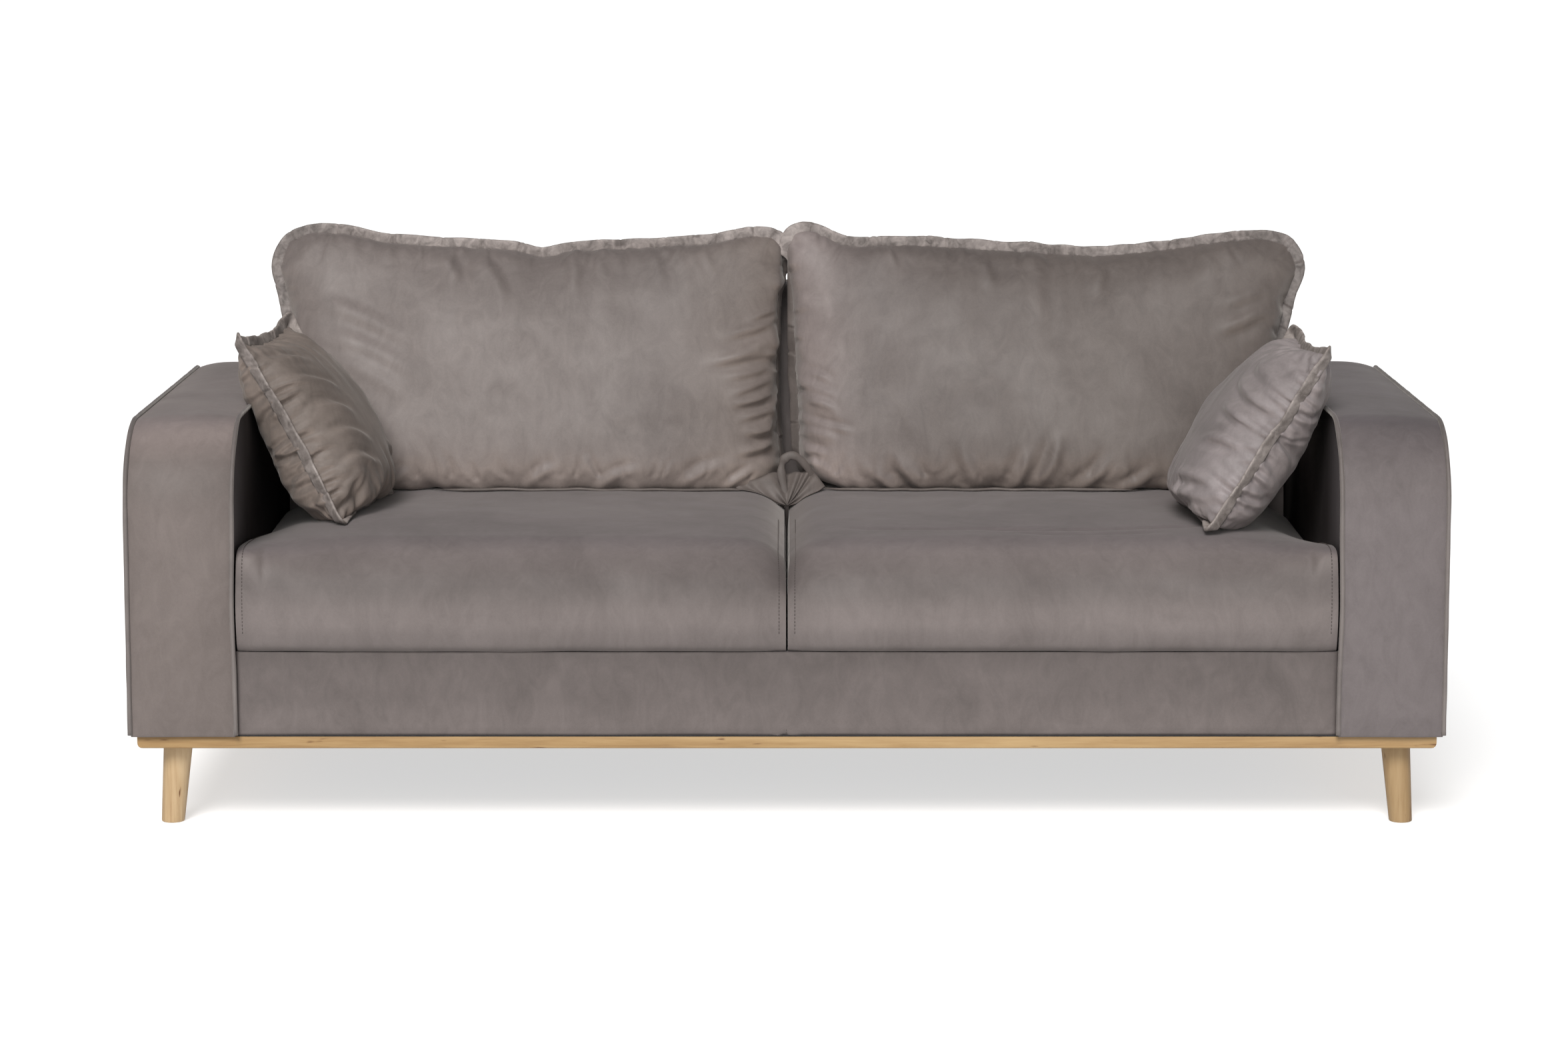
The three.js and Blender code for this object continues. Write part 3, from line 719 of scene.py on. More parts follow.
def stitches(name, path, normals, body, length=0.0036, gap=0.0022, radius=0.0007):
    """A row of short raised threads along a path on a surface."""
    path = np.asarray(path)
    steps = np.linalg.norm(np.diff(path, axis=0), axis=1)
    at = np.concatenate([[0], np.cumsum(steps)])
    verts = []
    faces = []
    start = 0.0
    while start + length < at[-1]:
        a, b = (np.array([np.interp(s, at, path[:, k]) for k in range(3)]) for s in (start, start + length))
        normal = np.array([np.interp(start, at, normals[:, k]) for k in range(3)])
        along = (b - a) / np.linalg.norm(b - a)
        side = np.cross(along, normal)
        side /= np.linalg.norm(side)
        middle = (a + b) / 2
        base = len(verts)
        for end in (a, b):
            verts += [end + side * radius * 0.7, end - side * radius * 0.7]
        verts += [middle + side * radius + normal * radius, middle - side * radius + normal * radius]
        verts += [middle - normal * radius * 1.5]
        faces += [
            (base, base + 1, base + 5, base + 4),
            (base + 2, base + 4, base + 5, base + 3),
            (base, base + 6, base + 1),
            (base + 2, base + 3, base + 6),
            (base, base + 4, base + 2, base + 6),
            (base + 1, base + 6, base + 3, base + 5),
        ]
        start += length + gap
    return piece(name, verts, faces, "thread", body)


# ---------------------------------------------------------------- layout from the CAD frame

ARM_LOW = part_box("arm_cover_right")[0]
ENVELOPE_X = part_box("arm_piping_outer_right")[1].x
ENVELOPE_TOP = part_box("arm_piping_outer_right")[1].z
FRONT_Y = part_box("arm_piping_outer_right")[0].y
ARM_INNER_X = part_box("arm_piping_inner_right")[0].x
PANEL_LOW, PANEL_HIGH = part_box("front_panel")
SEAT_LOW, SEAT_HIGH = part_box("seat_cushion_right")
BACK_LOW, BACK_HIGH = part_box("back_cover_front")
REAR_LOW, REAR_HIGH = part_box("back_cover_rear")
LIFT = next(j for j in frame["joints"] if j["name"] == "back_cushion_left_lift")["axis"]
BACK_LEAN = math.atan2(LIFT[1], LIFT[2])

FRONT_RADIUS = 0.132
PIPING_R = 0.0038


def back_face_y(z):
    """Y of the back's sloping front face."""
    return BACK_LOW.y + (z - BACK_LOW.z) * math.tan(BACK_LEAN)


# ---------------------------------------------------------------- arms

def inner_seam_push(y, z):
    """The seat cushion's front pushes the arm's inner seam outwards a little."""
    front = 1 - smoothstep(FRONT_Y + 0.03, FRONT_Y + 0.16, y)
    return 0.003 * front * bell(z - 0.36, 0.085)


def inner_seam_rise(y, z):
    """The scatter cushion's side of the arm's top stands a little higher than the outer side."""
    at_top = smoothstep(ENVELOPE_TOP - 0.03, ENVELOPE_TOP - 0.005, z)
    return 0.005 * at_top * (1 - smoothstep(0.38, 0.43, y))


def build_arm(hand, side):
    """The arm's cover: its strip is crowned between the two seams, and its inner side gets painted shade from
    a darker velvet.
    """
    seam = 0.004
    outer = ENVELOPE_X - seam
    inner = ARM_INNER_X + seam
    rear = -FRONT_Y - seam
    top = ENVELOPE_TOP - 0.0045
    foot = ARM_LOW.z - 0.002
    loop = rounded_loop(
        [
            (FRONT_Y + seam, foot, 0.004),
            (FRONT_Y + seam, top, FRONT_RADIUS),
            (rear, top, 0.022),
            (rear, foot, 0.004),
        ],
        0.011,
    )
    under = smoothstep(ARM_LOW.z + 0.002, ARM_LOW.z + 0.03, loop[:, 1])
    rising = smoothstep(FRONT_Y + 0.1, rear - 0.1, loop[:, 0]) * smoothstep(top - 0.03, top, loop[:, 1])
    crown = under * (0.006 + 0.006 * rising)
    verts, faces, across = upholstered(loop, inner, outer, 30, crown, 0.003)
    drag = (1 - across) / 2
    verts[:, 0] += inner_seam_push(verts[:, 1], verts[:, 2]) * drag
    verts[:, 2] += inner_seam_rise(verts[:, 1], verts[:, 2]) * drag
    wave = ripple(verts, 0.16, 11 + side)
    between_seams = 1 - across ** 2
    verts[:, 1] += wave * 0.0010 * between_seams
    verts[:, 2] += ripple(verts, 0.2, 31 + side) * 0.0008 * between_seams
    verts[:, 0] *= side
    faces = orient(verts, faces)
    cover = piece(
        f"arm_{hand}", verts, faces, f"arm_velvet_{hand}", "frame", (f"arm_cover_{hand}",),
    )
    # The inner end panel takes the darker copy: painted shade.
    cover.data.materials.append(MATERIALS["shaded_velvet"])
    for polygon in cover.data.polygons:
        if max(across[i] for i in polygon.vertices) < -0.999:
            polygon.material_index = 1
    for edge, x in (("inner", inner), ("outer", outer)):
        build_arm_piping(hand, side, edge, x, loop, rear)


def build_arm_piping(hand, side, edge, x, loop, rear):
    """A welt round the edge of the arm's strip, up the front, over the top and down the rear."""
    from_front_foot = np.abs(loop[:, 0] - loop[:, 0].min()) + np.abs(loop[:, 1] - ARM_LOW.z - 0.003)
    start = int(np.argmin(from_front_foot))
    order = np.roll(loop, -start, 0)
    normals = np.roll(loop_normals(loop), -start, 0)
    stop = int(np.argmax((order[:, 0] > rear - 0.001) & (order[:, 1] < ARM_LOW.z + 0.006)))
    order = order[:stop]
    normals = normals[:stop]
    path = np.zeros((len(order), 3))
    out = 1 if edge == "outer" else -1
    path[:, 0] = x + out * 0.0012
    path[:, 1:] = order + normals * 0.0014
    if edge == "inner":
        path[:, 0] += inner_seam_push(path[:, 1], path[:, 2])
        path[:, 2] += inner_seam_rise(path[:, 1], path[:, 2])
    path[:, 0] *= side
    direction = np.zeros_like(path)
    direction[:, 0] = out * side * 0.7
    direction[:, 1:] = normals * 0.7
    radius = PIPING_R * (1 + 0.07 * ripple(path, 0.05, 5))
    verts, faces = sweep(path, 12, radius, radius, direction)
    name = f"piping_{edge}_{hand}"
    piece(name, verts, faces, "piping", "frame", (f"arm_{name}",))


# ---------------------------------------------------------------- seat base and back

def padded_sheet(name, flat, y, other_y, rows, columns, material, node):
    """A padded panel on the frame: one face at depths y over (x, z) points, the other flat."""
    shown = np.stack([flat[:, 0], y, flat[:, 1]], 1)
    hidden = shown.copy()
    hidden[:, 1] = other_y
    verts, faces = thick_sheet(shown, hidden, rows, columns)
    piece(name, verts, faces, material, "frame", (node,))


def build_front_panel():
    """The upholstered board under the seat, with a sewn seam down the middle."""
    columns, rows, past_edge = 180, 26, 0.003
    flat = plane_points(
        PANEL_LOW.x - past_edge, PANEL_HIGH.x + past_edge, PANEL_LOW.z - 0.001, PANEL_HIGH.z, columns, rows,
    )
    y = np.full(len(flat), PANEL_LOW.y)
    seam_x = seam_bow(flat[:, 1])
    y += 0.0022 * bell(flat[:, 0] - seam_x, 0.004)
    y -= 0.0016 * bell(np.abs(flat[:, 0] - seam_x) - 0.012, 0.007)
    upper = smoothstep(PANEL_LOW.z + 0.05, PANEL_HIGH.z, flat[:, 1])
    stretched = np.stack([flat[:, 0], flat[:, 1] * 0.35], 1)
    y += ripple(stretched, 0.055, 3) * 0.0011 * upper
    y += ripple(flat, 0.25, 4) * 0.0010
    y += 0.004 * smoothstep(PANEL_LOW.z + 0.012, PANEL_LOW.z, flat[:, 1])
    padded_sheet("panel_front", flat, y, PANEL_HIGH.y, rows, columns, "panel_velvet", "front_panel")
    points = 30
    line_z = np.linspace(PANEL_LOW.z + 0.002, PANEL_HIGH.z - 0.001, points)
    path = np.stack([seam_bow(line_z) + 0.0015, np.full(points, PANEL_LOW.y + 0.0012), line_z], 1)
    stitches("stitches_panel", path, np.tile((0.0, -1.0, 0.0), (points, 1)), "frame")


def seam_bow(z):
    """The middle seam of the front panel bows by a few millimetres."""
    share = (z - PANEL_LOW.z) / (PANEL_HIGH.z - PANEL_LOW.z)
    return -0.003 + 0.004 * np.sin(np.pi * share)


def build_back_covers():
    """The back's front cover, rounded over its top, and the panel behind it."""
    loop = rounded_loop(
        [
            (BACK_LOW.y + 0.001, BACK_LOW.z, 0.004),
            (back_face_y(BACK_HIGH.z) + 0.001, BACK_HIGH.z - 0.002, 0.026),
            (REAR_LOW.y - 0.001, BACK_HIGH.z - 0.002, 0.004),
            (REAR_LOW.y - 0.001, BACK_LOW.z, 0.004),
        ],
        0.016,
    )
    crown = 0.002 * smoothstep(BACK_LOW.z + 0.02, BACK_LOW.z + 0.1, loop[:, 1])
    crown *= 1 - smoothstep(REAR_LOW.y - 0.03, REAR_LOW.y - 0.005, loop[:, 0])
    verts, faces, _ = upholstered(loop, BACK_LOW.x + 0.002, BACK_HIGH.x - 0.002, 90, crown, 0.0015)
    cover = piece("back_front", verts, faces, "velvet", "frame", ("back_cover_front",))
    build_rear_panel()


def build_rear_panel():
    """The outside back: one wide panel drawn tight over the frame, a little puffed, with a welt round it."""
    columns, rows = 150, 60
    low_x, high_x = REAR_LOW.x - 0.0025, REAR_HIGH.x + 0.0025
    low_z, high_z = REAR_LOW.z, REAR_HIGH.z - 0.002
    flat = plane_points(low_x, high_x, low_z, high_z, columns, rows)
    edge = np.minimum.reduce([
        flat[:, 0] - low_x, high_x - flat[:, 0], high_z - flat[:, 1], flat[:, 1] - low_z,
    ])
    y = np.full(len(flat), REAR_LOW.y + 0.0004)
    y += 0.0042 * (1 - np.exp(-np.maximum(edge, 0) / 0.012))
    pull = np.exp(-np.maximum(flat[:, 1] - low_z, 0) / 0.07)
    stretched = np.stack([flat[:, 0], flat[:, 1] * 0.25], 1)
    y += ripple(stretched, 0.09, 8) * 0.0012 * pull
    y += ripple(flat, 0.5, 9) * 0.0009 * smoothstep(0, 0.05, edge)
    padded_sheet("back_rear", flat, y, REAR_LOW.y, rows, columns, "velvet", "back_cover_rear")
    foot = low_z + 0.004
    corners = [(low_x, foot), (low_x, high_z), (high_x, high_z), (high_x, foot)]
    step = 0.012
    path = []
    for (xa, za), (xb, zb) in zip(corners, corners[1:]):
        pieces = int(np.hypot(xb - xa, zb - za) / step)
        for k in range(pieces):
            share = k / pieces
            path.append((xa + (xb - xa) * share, REAR_LOW.y + 0.0008, za + (zb - za) * share))
    path = np.array(path)
    soften(path, 3, 1)
    radius = PIPING_R * 0.9
    verts, faces = sweep(path, 10, radius, radius, np.tile((0.0, 1.0, 0.0), (len(path), 1)))
    piece("piping_rear", verts, faces, "piping", "frame")


# ---------------------------------------------------------------- seat cushions

SEAT_EDGE = 0.085  # how far in from its ends the seat's front is drawn in
SEAT_BROW = 0.104  # radius of the rounded front top edge


def end_distances(x, low_x, high_x, side):
    """How far each point lies from the cushion's end at the sofa's middle, and from its end at the arm."""
    return (x - low_x, high_x - x) if side > 0 else (high_x - x, x - low_x)


def seat_crown(x, y, low_x, high_x, side):
    """How far the seat's top stands above its plain height: crowned in the middle, falling to both sides."""
    from_middle, from_arm = end_distances(x, low_x, high_x, side)
    crown_height, front_fall, middle_fall = 0.007, 0.010, 0.030
    deepest, deep_from = (0.062, -0.06) if side > 0 else (0.052, 0.02)
    fall_middle = np.clip(1 - from_middle / 0.075, 0, 1) ** 2.3 * middle_fall
    near_arm = np.clip(1 - from_arm / 0.20, 0, 1) ** 1.8
    fall_arm = near_arm * (0.003 + deepest * smoothstep(-0.42, deep_from, y))
    across = np.clip((x - low_x) / (high_x - low_x), 0, 1)
    crown = crown_height * (4 * across * (1 - across)) ** 0.7
    return crown - front_fall * smoothstep(-0.12, -0.42, y) - fall_middle - fall_arm


SEAT_TOP = SEAT_HIGH.z + 0.002


def seat_top(co):
    """Height of whichever seat cushion lies under each point."""
    left_low, left_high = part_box("seat_cushion_left")
    low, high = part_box("seat_cushion_right")
    on_right = seat_crown(co[:, 0], co[:, 1], low.x, high.x, 1)
    on_left = seat_crown(co[:, 0], co[:, 1], left_low.x, left_high.x, -1)
    return SEAT_TOP + np.where(co[:, 0] > 0, on_right, on_left)


def fill_out_brow(co, share):
    """Makes the cushion's rounded front top edge turn more tightly, by a share from 0 to 1. The squareness of
    2 would be a circle."""
    least_square, most_square = 3.6, 8.6
    centre_y = SEAT_LOW.y + 0.002 + SEAT_BROW
    centre_z = SEAT_TOP - SEAT_BROW
    forward = np.clip((centre_y - co[:, 1]) / SEAT_BROW, 0, None)
    upward = np.clip((co[:, 2] - centre_z) / SEAT_BROW, 0, None)
    away = np.maximum(np.hypot(forward, upward), 1e-6)
    squareness = least_square + (most_square - least_square) * np.clip(share - 0.85, 0, None) / 0.15
    tight = ((forward / away) ** squareness + (upward / away) ** squareness + 1e-9) ** (-1 / squareness)
    scale = np.where((forward > 0) & (upward > 0), 1 + share * (tight - 1), 1)
    co[:, 1] -= forward * (scale - 1) * SEAT_BROW
    co[:, 2] += upward * (scale - 1) * SEAT_BROW


def seat_shape(co, low_x, high_x, side):
    """Crowns the top, lets it fall towards both sides, and draws the front in at its corners."""
    x = co[:, 0]
    from_middle, from_arm = end_distances(x, low_x, high_x, side)
    fill_out_brow(co, 1 - smoothstep(0.0, 0.17, from_arm))
    up = smoothstep(SEAT_LOW.z + 0.06, SEAT_HIGH.z, co[:, 2])
    co[:, 2] += up * seat_crown(x, co[:, 1], low_x, high_x, side)
    drawn_in, belly_out, hem_up, gap = 0.007, 0.004, 0.0015, 0.0025
    at_front = smoothstep(-0.30, -0.44, co[:, 1])
    belly = bell(co[:, 2] - 0.345, 0.05)
    draw = np.clip(1 - np.minimum(from_middle, from_arm) / SEAT_EDGE, 0, 1) ** 2
    co[:, 1] += at_front * (drawn_in * draw - belly_out * belly)
    hem = smoothstep(-0.437, -0.443, co[:, 1]) * (1 - smoothstep(0.288, 0.33, co[:, 2]))
    co[:, 2] += hem_up * hem
    beside_gap = (1 - smoothstep(0.0, 0.03, from_middle)) * smoothstep(-0.42, -0.36, co[:, 1])
    beside_gap *= smoothstep(SEAT_HIGH.z - 0.08, SEAT_HIGH.z - 0.04, co[:, 2])
    co[:, 0] += side * gap * beside_gap
    near_arm = 1 - smoothstep(0.0, 0.02, from_arm)
    co[:, 0] += side * inner_seam_push(co[:, 1], co[:, 2]) * near_arm
    return co


def seat_loop(low, high, step):
    """The seat cushion's outline from the side."""
    front = low.y + 0.002
    return rounded_loop(
        [
            (front, low.z, 0.013),
            (front, SEAT_TOP, SEAT_BROW),
            (high.y, SEAT_TOP, 0.030),
            (high.y, low.z, 0.012),
        ],
        step,
    )


def build_seat_cushion(hand, side):
    """A seat cushion with a rounded front top edge, softly uneven, and its topstitching."""
    low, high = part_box(f"seat_cushion_{hand}")
    loop = seat_loop(low, high, 0.0055)
    middle_gap, arm_gap = 0.0002, 0.002
    low_x = low.x + (middle_gap if side > 0 else arm_gap)
    high_x = high.x - (arm_gap if side > 0 else middle_gap)
    verts, faces, _ = upholstered(loop, low_x, high_x, 150, 0.0, 0.0010)
    verts = seat_shape(verts, low.x, high.x, side)
    wave = ripple(verts, 0.30, 40 + side) * 0.0012 + ripple(verts, 0.11, 50 + side) * 0.0004
    verts[:, 2] += wave * smoothstep(0.36, 0.44, verts[:, 2])
    in_front = smoothstep(-0.40, -0.44, verts[:, 1])
    verts[:, 1] += ripple(verts * (1, 1, 0.3), 0.12, 60 + side) * 0.0007 * in_front
    hem = bell(verts[:, 2] - low.z, 0.012) * smoothstep(-0.38, -0.43, verts[:, 1])
    verts[:, 2] += ripple(verts * (1, 0, 0), 0.16, 70 + side) * 0.0008 * hem
    if side > 0:
        seat_creases(verts)
    node = f"seat_cushion_{hand}"
    piece(f"seat_{hand}", verts, faces, "seat_velvet", node, (node,))
    seat_stitches(hand, side, low, high)


def seat_creases(verts):
    """Shallow sitting creases that run across the top of the right-hand seat, near its front. Each runs from
    x0, y0 to x1, y1."""
    creases = (
        (0.07, 0.46, -0.265, -0.285, 0.0030),
        (0.30, 0.70, -0.300, -0.262, 0.0034),
        (0.36, 0.62, -0.325, -0.318, 0.0026),
    )
    for x0, x1, y0, y1, depth in creases:
        share = np.clip((verts[:, 0] - x0) / (x1 - x0), 0, 1)
        line_y = y0 + (y1 - y0) * share - 0.018 * np.sin(np.pi * share)
        taper = smoothstep(0, 0.2, share) * (1 - smoothstep(0.8, 1, share))
        groove = bell(verts[:, 1] - line_y, 0.007)
        verts[:, 2] -= depth * taper * groove * smoothstep(0.42, 0.45, verts[:, 2])


def seat_stitches(hand, side, low, high):
    """A row of topstitching beside each side seam, down the front and over the top."""
    loop = seat_loop(low, high, 0.0085)
    normals = loop_normals(loop)
    start = int(np.argmin(np.abs(loop[:, 0] - low.y) + np.abs(loop[:, 1] - low.z - 0.03)))
    loop = np.roll(loop, -start, 0)
    normals = np.roll(normals, -start, 0)
    keep = int(np.argmax((loop[:, 0] > -0.05) & (loop[:, 1] > SEAT_HIGH.z - 0.02)))
    for edge, x in (("a", low.x + 0.011), ("b", high.x - 0.011)):
        path = np.zeros((keep, 3))
        path[:, 0] = x
        path[:, 1:] = loop[:keep]
        path = seat_shape(path, low.x, high.x, side)
        out = np.zeros_like(path)
        out[:, 1:] = normals[:keep]
        path += out * 0.0004
        stitches(f"stitches_seat_{hand}_{edge}", path, out, f"seat_cushion_{hand}")


# ---------------------------------------------------------------- sewn cushions

def panel_point(s, t, width, height, corner):
    """A point of a flat panel with round corners; s and t run from -1 to 1."""
    ring = max(abs(s), abs(t))
    radius = corner * ring ** 3
    half_w, half_h = ring * width / 2, ring * height / 2
    x, z = s * width / 2, t * height / 2
    inner_x = min(max(x, radius - half_w), half_w - radius)
    inner_z = min(max(z, radius - half_h), half_h - radius)
    dx, dz = x - inner_x, z - inner_z
    length = math.hypot(dx, dz)
    if length < 1e-9:
        return x, z
    longer = max(abs(dx), abs(dz))
    scale = min(1.0, radius / length) if longer >= radius * 0.999 else longer / length
    return inner_x + dx * scale, inner_z + dz * scale


def sewn_cover(width, height, corner, cell, swell, seed):
    """Two flat panels joined along their edges: vertices, faces and the seam's vertices in order."""
    columns = int(round(width / cell)) + 1
    rows = int(round(height / cell)) + 1
    front = {}
    rear = {}
    verts = []
    for r in range(rows):
        for c in range(columns):
            s, t = -1 + 2 * c / (columns - 1), -1 + 2 * r / (rows - 1)
            x, z = panel_point(s, t, width, height, corner)
            rise = swell * (1 - s ** 4) * (1 - t ** 4)
            on_seam = r in (0, rows - 1) or c in (0, columns - 1)
            front[r, c] = len(verts)
            verts.append((x, 0.0 if on_seam else -0.002 - rise, z))
            if on_seam:
                rear[r, c] = front[r, c]
            else:
                rear[r, c] = len(verts)
                verts.append((x, 0.002 + rise, z))
    faces = []
    for r in range(rows - 1):
        for c in range(columns - 1):
            cell_corners = ((r, c), (r, c + 1), (r + 1, c + 1), (r + 1, c))
            faces.append(tuple(front[k] for k in cell_corners))
            faces.append(tuple(rear[k] for k in reversed(cell_corners)))
    seam = [front[0, c] for c in range(columns)]
    seam += [front[r, columns - 1] for r in range(1, rows)]
    seam += [front[rows - 1, c] for c in range(columns - 2, -1, -1)]
    seam += [front[r, 0] for r in range(rows - 2, 0, -1)]
    verts = np.array(verts)
    inside = np.ones(len(verts), bool)
    inside[seam] = False
    verts[inside, 1] += ripple(verts[inside], 0.06, seed) * swell * 0.12
    grids = [np.array([[grid[r, c] for c in range(columns)] for r in range(rows)]) for grid in (front, rear)]
    return verts, faces, seam, grids


CLOTH = {
    "quality": 6,
    "mass": 0.2,
    "tension_stiffness": 14,
    "compression_stiffness": 14,
    "shear_stiffness": 6,
    "bending_stiffness": 0.12,
    "tension_damping": 6,
    "compression_damping": 6,
    "shear_damping": 4,
    "bending_damping": 0.4,
    "air_damping": 2.0,
    "shrink_min": -0.02,
    "use_pressure": True,
}


def inflate(obj, pressure, frames=26):
    """Blows the sewn cover up with Blender's cloth, with no gravity, and keeps the result."""
    modifier = obj.modifiers.new("cloth", "CLOTH")
    cloth = modifier.settings
    for key, value in CLOTH.items():
        setattr(cloth, key, value)
    cloth.uniform_pressure_force = pressure
    cloth.effector_weights.gravity = 0
    modifier.collision_settings.use_collision = False
    modifier.point_cache.frame_start = 1
    modifier.point_cache.frame_end = frames
    scene = bpy.context.scene
    for number in range(1, frames + 1):
        scene.frame_set(number)
    graph = bpy.context.evaluated_depsgraph_get()
    settled = obj.evaluated_get(graph).to_mesh()
    co = np.empty(len(settled.vertices) * 3)
    settled.vertices.foreach_get("co", co)
    obj.evaluated_get(graph).to_mesh_clear()
    obj.modifiers.clear()
    scene.frame_set(1)
    set_co(obj, co.reshape(-1, 3))


def calm_faces(co, grids, passes):
    """Irons out the simulation's small wrinkles, so that only the folds that belong there stay."""
    for grid in grids:
        face = co[grid]
        for _ in range(passes):
            around = face[:-2, 1:-1] + face[2:, 1:-1] + face[1:-1, :-2] + face[1:-1, 2:]
            face[1:-1, 1:-1] = face[1:-1, 1:-1] / 2 + around / 8
        co[grid] = face
    return co


def stretch_to_outline(co, grids, outline):
    """Moves the seam onto an outline and carries the two faces along with it. outline turns grid positions
    s and t, both from -1 to 1, into local x and z."""
    rows, columns = grids[0].shape
    s = np.linspace(-1, 1, columns)
    t = np.linspace(-1, 1, rows)
    seam = grids[0]

    def shift(line, at_s, at_t):
        target = np.array([outline(a, b) for a, b in zip(at_s, at_t)])
        return target - co[line][:, [0, 2]]

    left = shift(seam[:, 0], np.full(rows, -1.0), t)[:, None]
    right = shift(seam[:, -1], np.full(rows, 1.0), t)[:, None]
    bottom = shift(seam[0], s, np.full(columns, -1.0))[None]
    top = shift(seam[-1], s, np.full(columns, 1.0))[None]
    u = ((s + 1) / 2)[None, :, None]
    v = ((t + 1) / 2)[:, None, None]
    corners = (1 - v) * ((1 - u) * left[0] + u * right[0]) + v * ((1 - u) * left[-1] + u * right[-1])
    move = (1 - u) * left + u * right + (1 - v) * bottom + v * top - corners
    moved = co.copy()
    for grid in grids:
        flat = grid.ravel()
        moved[flat, 0] = co[flat, 0] + move[:, :, 0].ravel()
        moved[flat, 2] = co[flat, 2] + move[:, :, 1].ravel()
    return moved


def fit_thickness(co, spec):
    """Scales a cover so that its two faces swell by the given heights. A fullness below 1 makes them rise
    more steeply from the seam, and they may rise more steeply still near the foot."""
    share = np.where(co[:, 1] < 0, co[:, 1] / -co[:, 1].min(), co[:, 1] / co[:, 1].max())
    depth = np.where(co[:, 1] < 0, spec["front"], spec["rear"])
    low = 1 - smoothstep(-0.5 * spec["height"], -0.1 * spec["height"], co[:, 2])
    co[:, 1] = np.sign(share) * depth * np.abs(share) ** (spec["fullness"] - spec["foot_fullness"] * low)
    return co


def fold(co, normals, start, end, width, depth, bend=0.0):
    """Presses one soft fold, a ridge with a valley beside it, into the face that looks forwards (local -Y).
    start and end are local (x, z) points; the fold fades towards both ends."""
    start = np.array(start)
    end = np.array(end)
    along = end - start
    length = np.linalg.norm(along)
    along /= length
    across = np.array((-along[1], along[0]))
    flat = co[:, [0, 2]] - start
    share = flat @ along / length
    offset = flat @ across - bend * np.sin(np.pi * np.clip(share, 0, 1))
    taper = smoothstep(-0.05, 0.35, share) * (1 - smoothstep(0.55, 1.05, share))
    facing = smoothstep(-0.1, -0.5, normals[:, 1])
    profile = bell(offset, width) - 0.75 * bell(offset - 1.5 * width, width)
    co += normals * (depth * profile * taper * facing)[:, None]


def smooth_loop(points, passes):
    """Evens out a closed loop of points."""
    for _ in range(passes):
        points = (np.roll(points, 1, 0) + 2 * points + np.roll(points, -1, 0)) / 4
    return points


def resample_loop(points, step):
    """A closed loop as evenly spaced points, and how far along it each lies."""
    closed = np.concatenate([points, points[:1]])
    at = np.concatenate([[0], np.cumsum(np.linalg.norm(np.diff(closed, axis=0), axis=1))])
    count = int(at[-1] / step)
    where = np.linspace(0, at[-1], count, endpoint=False)
    return np.stack([np.interp(where, at, closed[:, k]) for k in range(3)], 1), where


# The flange's section: the share of its width, against the share of its half thickness.
FLANGE_SIDE = (
    (0.0, 0.25), (0.07, 0.32), (0.11, 0.85), (0.17, 1.0), (0.36, 0.92), (0.62, 0.88), (0.86, 0.95),
    (0.96, 0.72),
)
FLANGE_SECTION = (*FLANGE_SIDE, (1.0, 0.0), *((along, -height) for along, height in reversed(FLANGE_SIDE)))


def random_places(rng, total, gap):
    """Places along a seam at uneven distances: close together here and there, and far apart elsewhere."""
    places = []
    at = rng.uniform(0, gap)
    while at < total:
        places.append(at)
        at += gap * (rng.uniform(0.12, 0.35) if rng.uniform() < 0.4 else rng.uniform(0.7, 1.9))
    return places


def pleats_across(pleats, where, total, along_width):
    """How far the flange is pinched, and how high its pleats stand, all along it at one share of its width.
    pleats holds rows of place, strength, slant, narrow and wide reach, and whether it falls away ahead."""
    pinch = np.zeros(len(where))
    height = np.zeros(len(where))
    for at, strength, slant, narrow, wide, forwards in pleats:
        centre = at + slant * along_width
        ahead = (where - centre) % total
        behind = (centre - where) % total
        pinch += strength * np.exp(-((np.minimum(ahead, behind) / narrow) ** 2))
        height += strength * np.exp(-(ahead if forwards else behind) / wide)
    return np.clip(pinch, 0, 1), height


